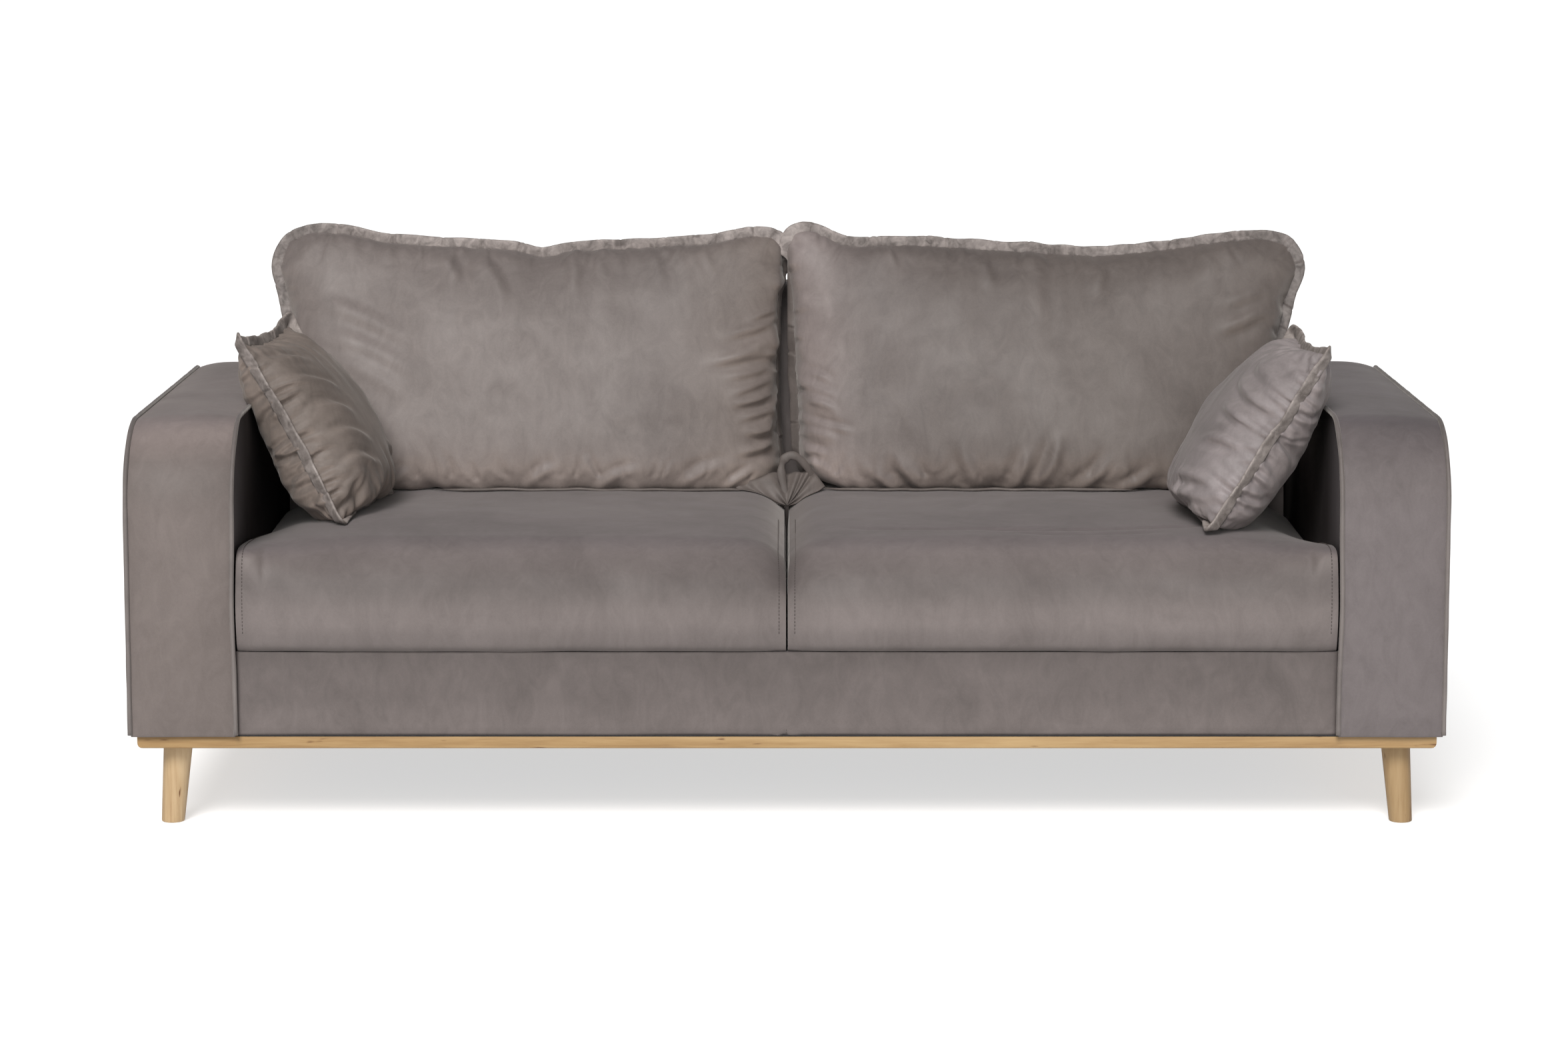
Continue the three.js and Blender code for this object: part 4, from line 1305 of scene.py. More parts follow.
def flange(seam_points, spec, lean_at):
    """The self-fabric flange that is sewn into a cushion's seam: a flat double band with a stitched groove at
    its root and crosswise pleats. lean_at gives how far its free edge tips forwards, in radians, at local x
    and z. Returns vertices and faces in the cushion's own frame."""
    step = 0.002
    sunk = 0.005
    rng = np.random.default_rng(spec["seed"])
    loop, where = resample_loop(smooth_loop(seam_points, 2), step)
    total = where[-1] + step
    guide = smooth_loop(loop, spec["corner_easing"])
    tangent = loop_tangents(guide)
    out = unit(np.cross(tangent, (0.0, 1.0, 0.0)))
    if np.sum(out * (guide - guide.mean(0))) < 0:
        out = -out
    out = smooth_loop(out, 2 * spec["corner_easing"])
    spreading = np.linalg.norm(out, axis=1)
    out /= spreading[:, None]
    mitre = np.clip(1 / spreading, 1, spec["mitre"])
    pleats = []
    for at in random_places(rng, total, spec["pinch_gap"]):
        strength = rng.uniform(0.6, 1.0) if rng.uniform() < 0.35 else rng.uniform(0.12, 0.4)
        slant = rng.uniform(-0.010, 0.010)
        narrow, wide = rng.uniform(0.0016, 0.003), rng.uniform(0.005, 0.016)
        pleats.append((at, strength, slant, narrow, wide, rng.uniform() < 0.5))
    angle = 2 * np.pi * where / total
    ring = np.stack([np.cos(angle), np.sin(angle)], 1) * total / 6.28
    lean = np.array([lean_at(x, z) for x, z in guide[:, [0, 2]]])
    swing = smooth_loop(lean[:, None], 40)[:, 0] + ripple(ring, 0.12, spec["seed"] + 1) * spec["sway"]
    forward = np.array((0.0, -1.0, 0.0))
    outward = out * np.cos(swing)[:, None] + forward * np.sin(swing)[:, None]
    across = np.cross(tangent, outward)
    if np.mean(across @ forward) < 0:
        across = -across
    verts = []
    for along_width, height in FLANGE_SECTION:
        pinch, pleat = pleats_across(pleats, where, total, along_width)
        uneven = 1 + 0.05 * ripple(ring, 0.06, spec["seed"] + 2) - 0.05 * pinch + 0.03 * pleat
        reach = spec["flange"] * mitre * uneven
        thick = spec["flange_thick"] * (1 + 0.12 * ripple(ring, 0.04, spec["seed"] + 3) - 0.5 * pinch)
        line = loop + outward * (along_width * reach - sunk)[:, None]
        lifted = height * thick * 0.5 + pleat * spec["pleat"] * min(1, along_width * 4)
        verts.append(line + across * lifted[:, None])
    verts = np.stack(verts, 1).reshape(-1, 3)
    return verts, orient(verts, ring_faces(len(loop), len(FLANGE_SECTION), True))


def seam_puckers(co, normals, seam_points, spec):
    """Short folds that run in from the seam, where the panel is gathered into it. They are fainter at the end
    that calm_side points to."""
    rng = np.random.default_rng(spec["seed"] + 9)
    loop, where = resample_loop(seam_points, 0.004)
    guide = smooth_loop(loop, 12)
    tangent = loop_tangents(guide)
    centre = guide.mean(0)
    shift = np.zeros(len(co))
    flat = co[:, [0, 2]]
    for face in (-1.0, 1.0):
        facing = smoothstep(-0.25, 0.1, normals[:, 1] * face)
        for at in random_places(rng, where[-1], spec["pucker_gap"]):
            i = int(np.argmin(np.abs(where - at)))
            base = loop[i][[0, 2]]
            inward = np.array((-tangent[i][2], tangent[i][0]))
            if inward @ (centre[[0, 2]] - base) < 0:
                inward = -inward
            direction = inward + rng.uniform(-0.6, 0.6) * tangent[i][[0, 2]]
            direction /= np.linalg.norm(direction)
            side = np.array((-direction[1], direction[0]))
            length = spec["pucker_reach"] * rng.uniform(0.35, 1.5)
            width = rng.uniform(0.6, 1.4) * spec["pucker_width"]
            margin = 1.1
            close = np.flatnonzero(np.sum((flat - base) ** 2, 1) < (length * margin) ** 2)
            away = flat[close] - base
            forward = away @ direction
            bow = rng.uniform(-0.3, 0.3) * forward * forward / length
            offset = (away @ side - bow) / (width * (1 + 0.7 * np.clip(forward / length, 0, 1)))
            profile = 0.55 * bell(offset - 1.7, 1) - bell(offset, 1) + 0.55 * bell(offset + 1.7, 1)
            taper = smoothstep(-0.006, 0.006, forward) * np.clip(1 - forward / length, 0, 1) ** 1.1
            calm = 1 - 0.7 * smoothstep(0.10, 0.15, base[0] * spec["calm_side"])
            shift[close] += calm * rng.uniform(0.4, 1.0) * profile * taper * facing[close]
    co += normals * (np.clip(shift, -1.6, 1.2) * spec["pucker_depth"])[:, None]


def place_matrix(columns, origin):
    """A matrix from three axes and an origin."""
    matrix = np.eye(4)
    matrix[:3, :3] = np.array(columns).T
    matrix[:3, 3] = origin
    return matrix


def transform(co, matrix):
    """Points turned and moved by a 4 by 4 matrix."""
    return co @ matrix[:3, :3].T + matrix[:3, 3]


def build_sewn(name, spec, matrix, settle, local_folds, body):
    """Sews, inflates, shapes, folds and places one cushion and its flange. Its CAD node has its body's
    name."""
    width, height = spec["width"], spec["height"]
    first_swell = 0.03
    verts, faces, seam, grids = sewn_cover(
        width, height, spec["corner"], spec["cell"], first_swell, spec["seed"],
    )
    cover = piece(name, verts, faces, spec["cloth"], body, (body,))
    inflate(cover, spec["pressure"])
    co = stretch_to_outline(calm_faces(get_co(cover), grids, spec["ironing"]), grids, spec["outline"])
    co = spec["sag"](fit_thickness(co, spec), height)
    set_co(cover, co)
    add_modifier(cover, "SUBSURF", levels=2, render_levels=2)
    co = get_co(cover)
    seam_points = co[seam].copy()
    seam_puckers(co, get_normals(cover), seam_points, spec)
    set_co(cover, co)
    for values in local_folds:
        fold(co, get_normals(cover), *values)
    co = settle(transform(co, matrix))
    set_co(cover, co)
    cover.data.shade_smooth()
    verts, faces = flange(seam_points, spec, spec["lean_at"])
    verts = settle(transform(verts, matrix))
    band = piece(
        f"{name}_flange", verts, orient(verts, faces), spec["flange_cloth"], body,
    )
    return cover, band


# ---------------------------------------------------------------- back cushions

SEAT_REST = SEAT_HIGH.z + 0.008  # height of the seat's crown where the cushions rest

# The seam's rise above a straight top edge, in millimetres, against where it is from left (-1) to right (1).
TOP_EDGE = {
    "left": (
        (-1, 2), (-0.9, 8), (-0.75, 3), (-0.62, -12), (-0.25, -21), (-0.08, -24), (0.03, -40), (0.11, -26),
        (0.4, -21), (0.72, -14), (0.82, -2), (1, 6),
    ),
    "right": (
        (-1, 10), (-0.95, 17), (-0.88, 8), (-0.78, -19), (-0.52, -15), (-0.1, -25), (0.25, -34), (0.5, -24),
        (0.88, -1), (1, -2),
    ),
}
# How far the seam stands outwards at the left and at the right side, in millimetres, against its height from
# bottom (-1) to top (1).
SIDE_EDGE = {
    "left": (
        ((-1, 0), (0.15, 0), (0.45, 10), (0.72, 27), (1, 18)),
        ((-1, 16), (-0.85, 4), (-0.6, -5), (0, -6), (0.8, -2), (1, 12)),
    ),
    "right": (
        ((-1, 10), (-0.85, 2), (-0.6, 0), (0.0, 6), (0.5, 11), (0.8, 22), (1, 26)),
        ((-1, 0), (0.1, 4), (0.45, 18), (0.72, 42), (1, 30)),
    ),
}


def eased(points, at):
    """Reads a list of (place, value) pairs, in millimetres, at one place, with a smooth line between them."""
    places, values = np.array(points, float).T
    total = weight = 0.0
    for offset in np.linspace(-0.05, 0.05, 11):
        share = 1 - abs(offset) / 0.06
        total += share * np.interp(at + offset, places, values)
        weight += share
    return total / weight * MM


def back_outline(hand, width, height, corner):
    """The seam's outline as a function of grid positions s and t."""
    def outline(s, t):
        x, z = panel_point(s, t, width, height, corner)
        left_side, right_side = SIDE_EDGE[hand]
        across, up = x / (width / 2), z / (height / 2)
        x += -eased(left_side, up) * max(0, -across) ** 4 + eased(right_side, up) * max(0, across) ** 4
        z += eased(TOP_EDGE[hand], across) * max(0, up) ** 3
        return x, z
    return outline


def back_sag(co, height):
    """The filling sinks: the front face's belly hangs down to the seat and hides the lower seam."""
    down, forward = 0.088, 0.086
    belly = np.clip(-co[:, 1] / 0.09, 0, 1)
    low = 1 - smoothstep(-height * 0.35, height * 0.35, co[:, 2])
    slumped = 1 - smoothstep(-height * 0.35, height * 0.5, co[:, 2])
    co[:, 2] -= down * belly * low
    co[:, 1] -= forward * belly * slumped
    return co


# What a sewn cushion is made from. cell is the cloth's mesh size; front and rear are how far its faces swell;
# fullness below 1 makes them rise steeply from the seam; fill is how padded it is; ironing counts smoothing
# passes. flange, pleat and pinch_gap shape the flange; mitre is how much longer it may be at a corner; the
# pucker values shape the gathers along the seam.
BACK_SPEC = {
    "height": 0.414,
    "corner": 0.042,
    "cell": 0.0095,
    "pressure": 7.0,
    "sag": back_sag,
    "front": 0.090,
    "rear": 0.074,
    "fullness": 0.66,
    "foot_fullness": 0.22,
    "fill": 0.65,
    "cloth": "back_velvet",
    "flange_cloth": "flange_velvet",
    "flange": 0.0220,
    "flange_thick": 0.0055,
    "corner_easing": 30,
    "mitre": 1.35,
    "ironing": 10,
    "calm_side": 0,
    "pleat": 0.0036,
    "pinch_gap": 0.026,
    "sway": 0.12,
    "pucker_gap": 0.030,
    "pucker_reach": 0.045,
    "pucker_width": 0.0055,
    "pucker_depth": 0.0024,
}


def back_lean_at(hand):
    """The flange stands in the cushion's plane at the top and the outer end. Under the cushion, and where the
    two cushions meet, it is folded back."""
    def lean_at(x, z):
        towards_middle = x if hand == "left" else -x
        if z < -0.17:
            return -1.15
        if towards_middle > 0.38:
            return -1.3 if hand == "left" and z < 0.15 else -0.62 if z < 0.13 else 0.0
        return 0.12
    return lean_at


def gathers(x, z_top, z_bottom, count, reach, drop, side, depth):
    """Uneven folds one above the other along one end of a cushion, the middle ones longest."""
    rng = np.random.default_rng(count)
    folds = []
    for k in range(count):
        share = (k + rng.uniform(-0.3, 0.3)) / (count - 1)
        z = z_top + (z_bottom - z_top) * share
        middling = math.sin(math.pi * np.clip(0.12 + 0.76 * share, 0, 1))
        length = reach * (0.35 + 0.65 * middling) * rng.uniform(0.6, 1.3)
        end = (x - side * length, z - (drop + rng.uniform(-0.12, 0.22)) * length)
        width = rng.uniform(0.0055, 0.0095)
        strength = rng.uniform(0.55, 1.1)
        bend = rng.uniform(-0.002, 0.008)
        folds.append(((x, z), end, width, depth * strength, bend))
    return folds


# Start and end as local (x, z), width, depth and bend of each fold.
BACK_FOLDS = {
    "left": gathers(0.415, 0.085, -0.145, 10, 0.115, 0.26, 1, 0.0064) + [
        ((-0.385, 0.095), (-0.200, 0.010), 0.017, 0.0046, 0.008),
        ((-0.370, 0.040), (-0.190, -0.045), 0.018, 0.0052, 0.008),
        ((-0.340, -0.005), (-0.200, -0.085), 0.016, 0.0036, 0.006),
        ((-0.105, 0.170), (-0.050, 0.075), 0.014, 0.0052, 0.010),
        ((-0.170, 0.175), (-0.130, 0.115), 0.013, 0.0044, 0.006),
        ((0.065, 0.175), (0.060, 0.100), 0.012, 0.0036, 0.003),
        ((0.200, 0.180), (0.215, 0.120), 0.012, 0.0030, 0.003),
        ((-0.020, -0.235), (0.050, -0.190), 0.009, 0.0028, 0.006),
        ((0.100, -0.238), (0.190, -0.196), 0.009, 0.0032, 0.008),
        ((0.240, -0.236), (0.340, -0.186), 0.010, 0.0036, 0.008),
        ((0.320, -0.238), (0.395, -0.190), 0.007, 0.0034, 0.004),
        ((-0.330, -0.235), (-0.270, -0.185), 0.009, 0.0044, 0.004),
        ((-0.250, -0.235), (-0.205, -0.195), 0.009, 0.0034, 0.004),
    ],
    "right": gathers(-0.405, -0.030, -0.190, 7, 0.070, 0.30, -1, 0.0042) + [
        ((0.400, 0.120), (0.300, 0.085), 0.012, 0.0048, 0.005),
        ((0.400, 0.085), (0.290, 0.035), 0.012, 0.0056, 0.005),
        ((-0.183, -0.240), (-0.255, -0.165), 0.011, 0.0064, 0.008),
        ((-0.225, -0.240), (-0.300, -0.185), 0.010, 0.0056, 0.008),
        ((-0.100, -0.240), (-0.140, -0.140), 0.012, 0.0048, 0.006),
        ((-0.053, -0.240), (-0.022, -0.160), 0.011, 0.0066, -0.006),
        ((-0.015, -0.240), (0.035, -0.130), 0.012, 0.0074, -0.008),
        ((0.045, -0.240), (0.125, -0.170), 0.011, 0.0060, -0.008),
        ((0.125, -0.240), (0.200, -0.195), 0.010, 0.0056, -0.006),
        ((0.230, -0.240), (0.300, -0.200), 0.009, 0.0048, -0.004),
        ((-0.100, 0.170), (-0.085, 0.110), 0.012, 0.0034, 0.003),
        ((0.110, 0.160), (0.095, 0.100), 0.012, 0.0036, 0.003),
    ],
}


def tuck_behind(co):
    """Near its top, the left cushion's inner edge is tucked behind the right cushion's and clear of the
    lifted seats."""
    across, back, gap, overlap = 0.010, 0.022, 0.0012, 0.0043
    z = co[:, 2]
    near_top = smoothstep(0.79, 0.82, z) * smoothstep(0.885, 0.865, z)
    co[:, 0] += across * smoothstep(-0.035, -0.010, co[:, 0]) * near_top
    reach = -gap + (gap + overlap) * smoothstep(0.822, 0.832, z)
    co[:, 0] -= soft_positive(co[:, 0] - reach, 0.0008) * near_top
    co[:, 1] += back * smoothstep(-0.012, -0.004, co[:, 0]) * near_top


def settle_back(side):
    """Presses a back cushion against the back and down on the seat, and keeps it between the arms. The right
    cushion stays on its own side of the middle, up to the height that the left seat lifts to."""
    def settle(co):
        limit = back_face_y(co[:, 2]) - 0.004
        co[:, 1] -= soft_positive(co[:, 1] - limit, 0.006) * (co[:, 2] < BACK_HIGH.z + 0.02)
        co[:, 2] += soft_positive(seat_top(co) - 0.001 - co[:, 2], 0.005)
        wall = ARM_INNER_X - 0.003
        low = 1 - smoothstep(ENVELOPE_TOP, ENVELOPE_TOP + 0.09, co[:, 2])
        over = soft_positive(side * co[:, 0] - wall, 0.004) * low
        co[:, 0] -= side * over
        if side > 0:
            middle_gap = 0.0011
            over_seat = (co[:, 1] < SEAT_HIGH.y + 0.006) * smoothstep(0.866, 0.850, co[:, 2])
            co[:, 0] += soft_positive(middle_gap - co[:, 0], 0.0006) * over_seat
        else:
            tuck_behind(co)
        return co
    return settle


# Each cushion's middle in x, its width and its seed.
BACK_PLACES = {"left": (-0.4325, 0.842, 100), "right": (0.434, 0.828, 200)}


def build_back_cushions():
    """Both back cushions, leaning on the back, and the folds where they meet."""
    up = np.array((0.0, math.sin(BACK_LEAN), math.cos(BACK_LEAN)))
    out = np.array((0.0, math.cos(BACK_LEAN), -math.sin(BACK_LEAN)))
    height = BACK_SPEC["height"]
    centre_z = SEAT_REST + 0.012 + height / 2 * math.cos(BACK_LEAN)
    centre_y = back_face_y(centre_z) - 0.084
    for hand, side in SIDES:
        centre_x, width, seed = BACK_PLACES[hand]
        spec = dict(BACK_SPEC, width=width, seed=seed, lean_at=back_lean_at(hand))
        spec["outline"] = back_outline(hand, width, height, spec["corner"])
        matrix = place_matrix((np.array((1.0, 0, 0)), out, up), (centre_x, centre_y, centre_z))
        cover, band = build_sewn(
            f"cushion_back_{hand}", spec, matrix, settle_back(side), BACK_FOLDS[hand], f"back_cushion_{hand}",
        )
        build_under_edge(hand, side, cover)
        paint_shade_on_inner_end(band)
    build_centre_folds()


def paint_shade_on_inner_end(band):
    """Painted shade: the flange between the two back cushions takes a darker copy of the velvet."""
    from_middle, below = 0.05, 0.85
    band.data.materials.append(MATERIALS["fold_velvet"])
    for polygon in band.data.polygons:
        x, _, z = polygon.center
        if abs(x) < from_middle and z < below:
            polygon.material_index = 1


def build_under_edge(hand, side, cover):
    """The edge of the flange that is folded under a back cushion and peeps out along the seat."""
    co = get_co(cover)
    near_seat = co[co[:, 2] < seat_top(co) + 0.012]
    inner_end, outer_end, points = 0.05, 0.60, 140
    x = np.linspace(inner_end, outer_end, points) * side
    y = np.array([near_seat[np.abs(near_seat[:, 0] - at) < 0.012, 1].min() for at in x])
    path = np.stack([x, y, np.zeros(len(x))], 1)
    soften(path[:, 1], 6)
    above_seat = 0.0035
    along = path * (1, 0, 0)
    path[:, 1] += 0.0005 + ripple(along, 0.09, 500 + side) * 0.0012
    path[:, 2] = seat_top(path) + above_seat + ripple(along, 0.05, 510 + side) * 0.0006
    from_end = np.minimum(np.arange(points), np.arange(points)[::-1])
    taper = np.clip(from_end / 12, 0.15, 1)
    half_wide, half_high = 0.0034 * taper, 0.0026 * taper
    verts, faces = sweep(path, 10, half_wide, half_high, np.tile((0.0, 0.0, 1.0), (points, 1)))
    # The darker copy of the velvet: painted shade along the seat.
    piece(f"under_edge_{hand}", verts, faces, "fold_velvet", f"back_cushion_{hand}")


def smooth_path(points, count):
    """A smooth line through a few points."""
    points = np.array(points, float) * MM
    where = np.linspace(0, len(points) - 1, count)
    path = np.stack([np.interp(where, np.arange(len(points)), points[:, k]) for k in range(3)], 1)
    soften(path, int(count * 0.6))
    return path


# Where the two back cushions meet, their flanges are folded over each other and dip between the seats.
CENTRE_LOOP = (
    (46, 142, 488), (36, 134, 506), (21, 128, 526), (4, 126, 532), (-8, 127, 519), (-11, 126, 501),
    (-6, 122, 480), (-2, 118, 462), (0, 120, 446),
)
# The upper edge of the folded corner, from left to right, and the point that it all runs down to.
CENTRE_EDGE = (
    (-92, 128, 475), (-66, 131, 482), (-40, 138, 490), (-22, 142, 499), (0, 146, 494), (22, 144, 497),
    (42, 140, 502), (54, 134, 490), (66, 128, 475),
)
CENTRE_TIP = np.array((1, 110, 444)) * MM


def build_centre_folds():
    """A loop of flange over a folded corner, whose folds all run down to one point between the seats."""
    loop = smooth_path(CENTRE_LOOP, 70)
    facing = np.tile((0.1, -1.0, 0.25), (len(loop), 1))
    flat = 1 + 0.22 * ripple(loop, 0.02, 520)
    verts, faces = sweep(loop, 16, 0.0070 * flat, 0.0036 * flat, facing)
    # The darker copy of the velvet: painted shade between the cushions.
    piece("centre_fold_loop", verts, faces, "fold_velvet", "back_cushion_right")
    columns, rows, fold_depth = 90, 24, 0.0040
    edge = smooth_path(CENTRE_EDGE, columns)
    front = []
    for down in np.linspace(0, 1, rows):
        line = edge * (1 - down) + CENTRE_TIP * down
        front.append(line - np.array((0, 0.012, 0.005)) * math.sin(math.pi * down))
    front = np.concatenate(front)
    along = np.tile(np.linspace(0, 1, columns), rows)
    down = np.repeat(np.linspace(0, 1, rows), columns)
    bent = along * 6 + 1.5 * np.sin(along * 9) + 0.9 * down
    depth = fold_depth * (1 - 0.45 * down) * smoothstep(0, 0.12, along) * (1 - smoothstep(0.88, 1, along))
    phase = 2 * np.pi * bent / 2.1
    front[:, 1] -= depth * np.sin(phase)
    front[:, 2] += 0.4 * depth * np.sin(phase + 0.9)
    over_seat = smoothstep(0.012, 0.03, np.abs(front[:, 0]))
    front[:, 2] += over_seat * soft_positive(seat_top(front) + 0.003 - front[:, 2], 0.002)
    rear = front + (0, 0.003, -0.002)
    verts, faces = thick_sheet(front, rear, rows, columns)
    # The darker copy of the velvet: painted shade between the cushions.
    piece("centre_fold_corner", verts, faces, "fold_velvet", "back_cushion_right")


# ---------------------------------------------------------------- scatter cushions

SCATTER_HALF = 0.170


def scatter_outline(s, t):
    """A square with nearly sharp corners and hollow sides, the top one most."""
    x, z = panel_point(s, t, 2 * SCATTER_HALF, 2 * SCATTER_HALF, 0.008)
    across, up = x / SCATTER_HALF, z / SCATTER_HALF
    hollow = 0.020 if z > 0 else 0.010
    x -= 0.012 * (1 - up ** 2) * across ** 3
    z -= hollow * (1 - across ** 2) * up ** 3
    return x, z


def scatter_sag(co, height):
    """The corners are flat, and the filling sinks towards the cushion's lower edge."""
    corner = np.minimum(np.abs(co[:, 0]), np.abs(co[:, 2])) / SCATTER_HALF
    co[:, 1] *= 1 - 0.55 * smoothstep(0.5, 0.98, corner)
    bulge = np.clip(np.abs(co[:, 1]) / 0.08, 0, 1)
    co[:, 2] -= 0.036 * bulge * (1 - smoothstep(height * 0.1, height * 0.5, co[:, 2]))
    return co


def scatter_lean_at(x, z):
    """The flange tips over the cushion's inner face, and less so at the corners."""
    corner = smoothstep(0.82, 0.96, min(abs(x), abs(z)) / SCATTER_HALF)
    side = 0.20 if z > abs(x) else 1.05
    return side + (0.75 - side) * corner


SCATTER_SPEC = {
    "width": 2 * SCATTER_HALF,
    "height": 2 * SCATTER_HALF,
    "corner": 0.012,
    "cell": 0.0066,
    "pressure": 9.0,
    "sag": scatter_sag,
    "front": 0.084,
    "rear": 0.076,
    "fullness": 0.95,
    "foot_fullness": 0.1,
    "fill": 0.7,
    "flange_cloth": "scatter_flange_velvet",
    "flange": 0.0215,
    "flange_thick": 0.0052,
    "corner_easing": 10,
    "mitre": 1.30,
    "ironing": 7,
    "pleat": 0.0022,
    "pinch_gap": 0.040,
    "sway": 0.18,
    "lean_at": scatter_lean_at,
    "pucker_gap": 0.017,
    "pucker_reach": 0.068,
    "pucker_width": 0.0054,
    "pucker_depth": 0.0042,
    "outline": scatter_outline,
}


def settle_scatter(side):
    """Dents a scatter cushion over the arm's inner edge and rests it on the seat."""
    def settle(co):
        edge_x, edge_z = ARM_INNER_X - 0.002, ENVELOPE_TOP + 0.001
        into_x = side * co[:, 0] - edge_x
        into_z = edge_z - co[:, 2]
        depth = np.minimum(into_x, into_z)
        push = soft_positive(depth, 0.010) * (depth > -0.03)
        blend = smoothstep(-0.02, 0.02, into_z - into_x)
        co[:, 0] -= side * push * blend
        co[:, 2] += push * (1 - blend)
        co[:, 2] += soft_positive(seat_top(co) - 0.001 - co[:, 2], 0.005)
        return co
    return settle


# Deeper creases in the inner faces, running in from the seam at the front.
SCATTER_FOLDS = {
    "left": [
        ((-0.155, 0.115), (-0.035, 0.080), 0.009, 0.0050, 0.003),
        ((-0.155, 0.070), (-0.020, 0.020), 0.009, 0.0062, 0.004),
        ((-0.155, 0.025), (-0.030, -0.030), 0.010, 0.0062, 0.004),
        ((-0.155, -0.030), (-0.020, -0.085), 0.010, 0.0056, 0.005),
        ((-0.150, -0.080), (-0.030, -0.125), 0.009, 0.0060, 0.003),
        ((0.150, -0.130), (0.060, -0.090), 0.010, 0.0050, -0.003),
    ],
    "right": [
        ((0.155, 0.085), (0.030, 0.100), 0.010, 0.0056, 0.006),
        ((0.155, 0.040), (0.020, 0.062), 0.009, 0.0072, 0.006),
        ((0.155, 0.005), (0.035, 0.012), 0.009, 0.0078, 0.004),
        ((0.155, -0.030), (0.050, -0.060), 0.009, 0.0066, -0.004),
        ((0.150, -0.100), (0.010, -0.128), 0.009, 0.0072, 0.004),
        ((0.145, -0.130), (-0.010, -0.160), 0.009, 0.0066, 0.004),
        ((-0.080, 0.150), (-0.020, 0.060), 0.014, 0.0046, 0.008),
    ],
}
# Each cushion's middle, its lean out over the arm and its turn towards the back in degrees, and its seed.
SCATTER_PLACES = {
    "left": ((-0.791, -0.079, 0.615), 29.5, 8, 300),
    "right": ((0.771, -0.179, 0.610), 33, 3, 400),
}


def build_scatter_cushions():
    """The two scatter cushions, each resting on the seat and over the arm's inner edge."""
    for hand, side in SIDES:
        place, lean, yaw, seed = SCATTER_PLACES[hand]
        lean, yaw = math.radians(lean), math.radians(yaw)
        spec = dict(SCATTER_SPEC, seed=seed, calm_side=-side, cloth=f"scatter_velvet_{hand}")
        up = np.array((side * math.sin(lean), 0.0, math.cos(lean)))
        face = np.array((-side * math.cos(lean), 0.0, math.sin(lean)))
        wide = np.cross(-face, up)
        turn = np.array(Matrix.Rotation(side * yaw, 3, "Z"))
        axes = [turn @ axis for axis in (wide, -face, up)]
        matrix = place_matrix(axes, place)
        build_sewn(
            f"cushion_scatter_{hand}", spec, matrix, settle_scatter(side), SCATTER_FOLDS[hand],
            f"scatter_cushion_{hand}",
        )


# ---------------------------------------------------------------- wood

def bevelled_board(name, node, material, rounds):
    """A board the size of its CAD node, with eased edges. rounds gives a larger radius for the edges whose
    middle point passes a test."""
    low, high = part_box(node)
    mesh = bpy.data.meshes.new(name)
    shape = bmesh.new()
    bmesh.ops.create_cube(shape, size=1.0)
    centre, size = (low + high) / 2, high - low
    for vert in shape.verts:
        vert.co = Vector(vert.co[k] * size[k] + centre[k] for k in range(3))
    for radius, segments, test in rounds:
        edges = [e for e in shape.edges if test((e.verts[0].co + e.verts[1].co) / 2, low, high)]
        bmesh.ops.bevel(shape, geom=edges, offset=radius, segments=segments, affect="EDGES", profile=0.5)
    bmesh.ops.recalc_face_normals(shape, faces=shape.faces)
    shape.to_mesh(mesh)
    shape.free()
    mesh.materials.append(MATERIALS[material])
    mesh.shade_smooth()
    mesh.set_sharp_from_angle(angle=math.radians(50))
    obj = put(name, mesh)
    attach(obj, "frame")
    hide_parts(node)


def near(a, b):
    """Whether two places on a board are the same."""
    tolerance = 2e-4
    return abs(a - b) < tolerance


def build_plinth():
    """The four boards of the plinth, with rounded outer edges below."""
    for end, sign in (("front", -1), ("rear", 1)):
        def end_edge(m, low, high):
            return near(m.z, low.z) and (near(m.x, low.x) or near(m.x, high.x))

        def long_edge(m, low, high, sign=sign):
            return near(m.z, low.z) and near(m.y, low.y if sign < 0 else high.y)

        def any_edge(m, low, high):
            return near(m.z, high.z) or near(m.y, low.y) and near(m.x, low.x)

        bevelled_board(
            f"board_{end}", f"plinth_{end}", "beech_x",
            [(0.009, 6, end_edge), (0.0025, 3, long_edge), (0.001, 2, any_edge)],
        )
    for hand, side in SIDES:
        def outer_edge(m, low, high, side=side):
            return near(m.z, low.z) and near(m.x, low.x if side < 0 else high.x)

        def top_edge(m, low, high):
            return near(m.z, high.z)

        bevelled_board(
            f"board_{hand}", f"plinth_{hand}", "beech_y", [(0.009, 6, outer_edge), (0.001, 2, top_edge)],
        )


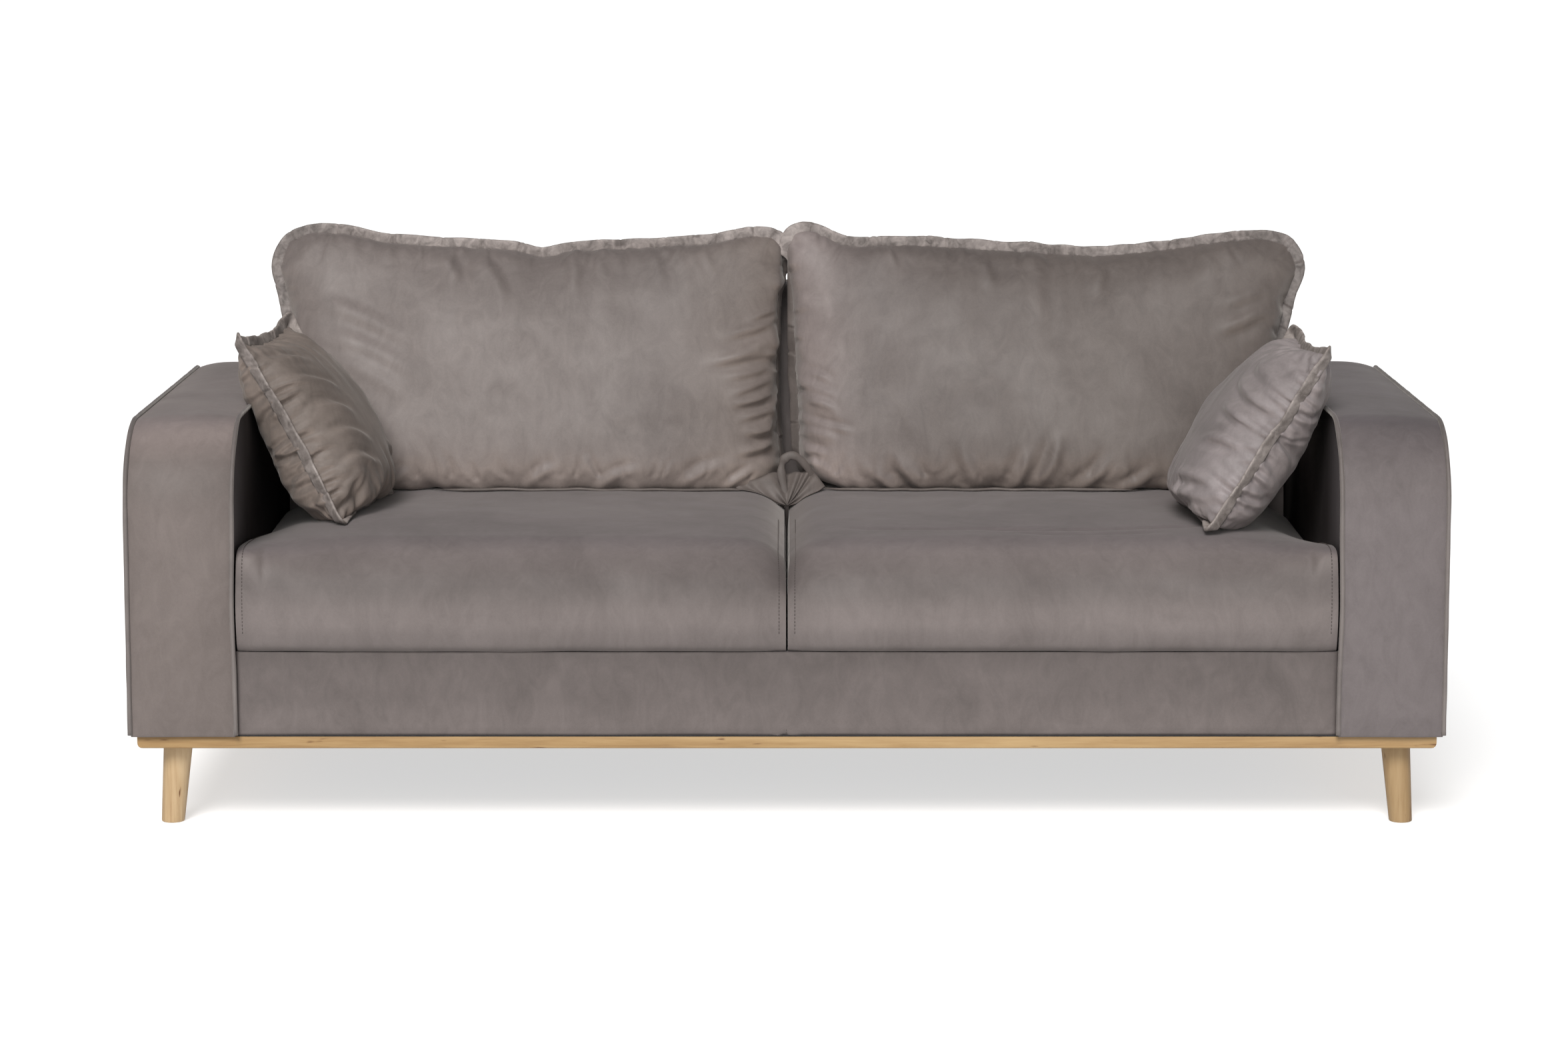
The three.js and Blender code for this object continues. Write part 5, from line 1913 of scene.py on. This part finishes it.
def build_leg(end, hand):
    """A tapered round leg whose foot edge is eased; its rings follow the CAD leg's top and foot."""
    node = f"leg_{end}_{hand}"
    mesh = frame["nodes"][node].data
    co = np.array([v.co for v in mesh.vertices])
    top_z, foot_z = co[:, 2].max(), co[:, 2].min()
    top = co[np.abs(co[:, 2] - top_z) < 1e-4]
    foot = co[np.abs(co[:, 2] - foot_z) < 1e-4]
    top_centre = (top.max(0) + top.min(0)) / 2
    foot_centre = (foot.max(0) + foot.min(0)) / 2
    top_r = (top[:, 0].max() - top[:, 0].min()) / 2
    foot_r = (foot[:, 0].max() - foot[:, 0].min()) / 2
    ease = 0.0025
    levels = [(0.0, -ease)] + [
        (ease * (1 - math.cos(a)), -ease * (1 - math.sin(a))) for a in np.linspace(0.3, math.pi / 2, 4)
    ]
    levels += [(h, 0.0) for h in np.linspace(0.01, top_z - foot_z, 8)]
    segments = 56
    verts = [tuple(foot_centre)]
    for height, shrink in levels:
        share = height / (top_z - foot_z)
        centre = foot_centre + (top_centre - foot_centre) * share
        radius = foot_r + (top_r - foot_r) * share + shrink
        for k in range(segments):
            angle = 2 * math.pi * k / segments
            verts.append(centre + radius * np.array((math.cos(angle), math.sin(angle), 0)))
    verts.append(tuple(top_centre))
    faces = []
    for k in range(segments):
        following = (k + 1) % segments
        faces.append((0, 1 + following, 1 + k))
        for level in range(len(levels) - 1):
            base = 1 + level * segments
            faces.append((base + k, base + following, base + segments + following, base + segments + k))
        base = 1 + (len(levels) - 1) * segments
        faces.append((base + k, base + following, len(verts) - 1))
    leg = piece(f"turned_{node}", verts, faces, f"leg_{hand}", "frame", (node,))
    leg.data.set_sharp_from_angle(angle=math.radians(50))


# ---------------------------------------------------------------- CAD nodes that stay as they are

KEPT_LOOKS = {
    "pine_z": ("arm_board", "arm_slat", "back_post", "corner_block"),
    "pine_x": ("back_top_rail", "back_bottom_rail", "seat_rail"),
    "foam": ("arm_foam", "back_pad"),
    "webbing": ("back_webbing",),
    "deck_cloth": ("deck_pad",),
    "dust_sheet": ("dust_cover",),
    "steel": ("hanger_bolt", "zigzag_spring"),
}


def dress_kept_nodes():
    """Gives each CAD node that stays visible its own material, by how its name starts."""
    for name, node in frame["nodes"].items():
        for material, starts in KEPT_LOOKS.items():
            if name.startswith(starts):
                node.data.materials.clear()
                node.data.materials.append(MATERIALS[material])


# ---------------------------------------------------------------- build

build_camera()
build_stage()
build_light()
for sofa_hand, sofa_side in SIDES:
    build_arm(sofa_hand, sofa_side)
    build_seat_cushion(sofa_hand, sofa_side)
build_front_panel()
build_back_covers()
build_back_cushions()
build_scatter_cushions()
build_plinth()
for leg_end in ("front", "rear"):
    for leg_hand, _ in SIDES:
        build_leg(leg_end, leg_hand)
dress_kept_nodes()
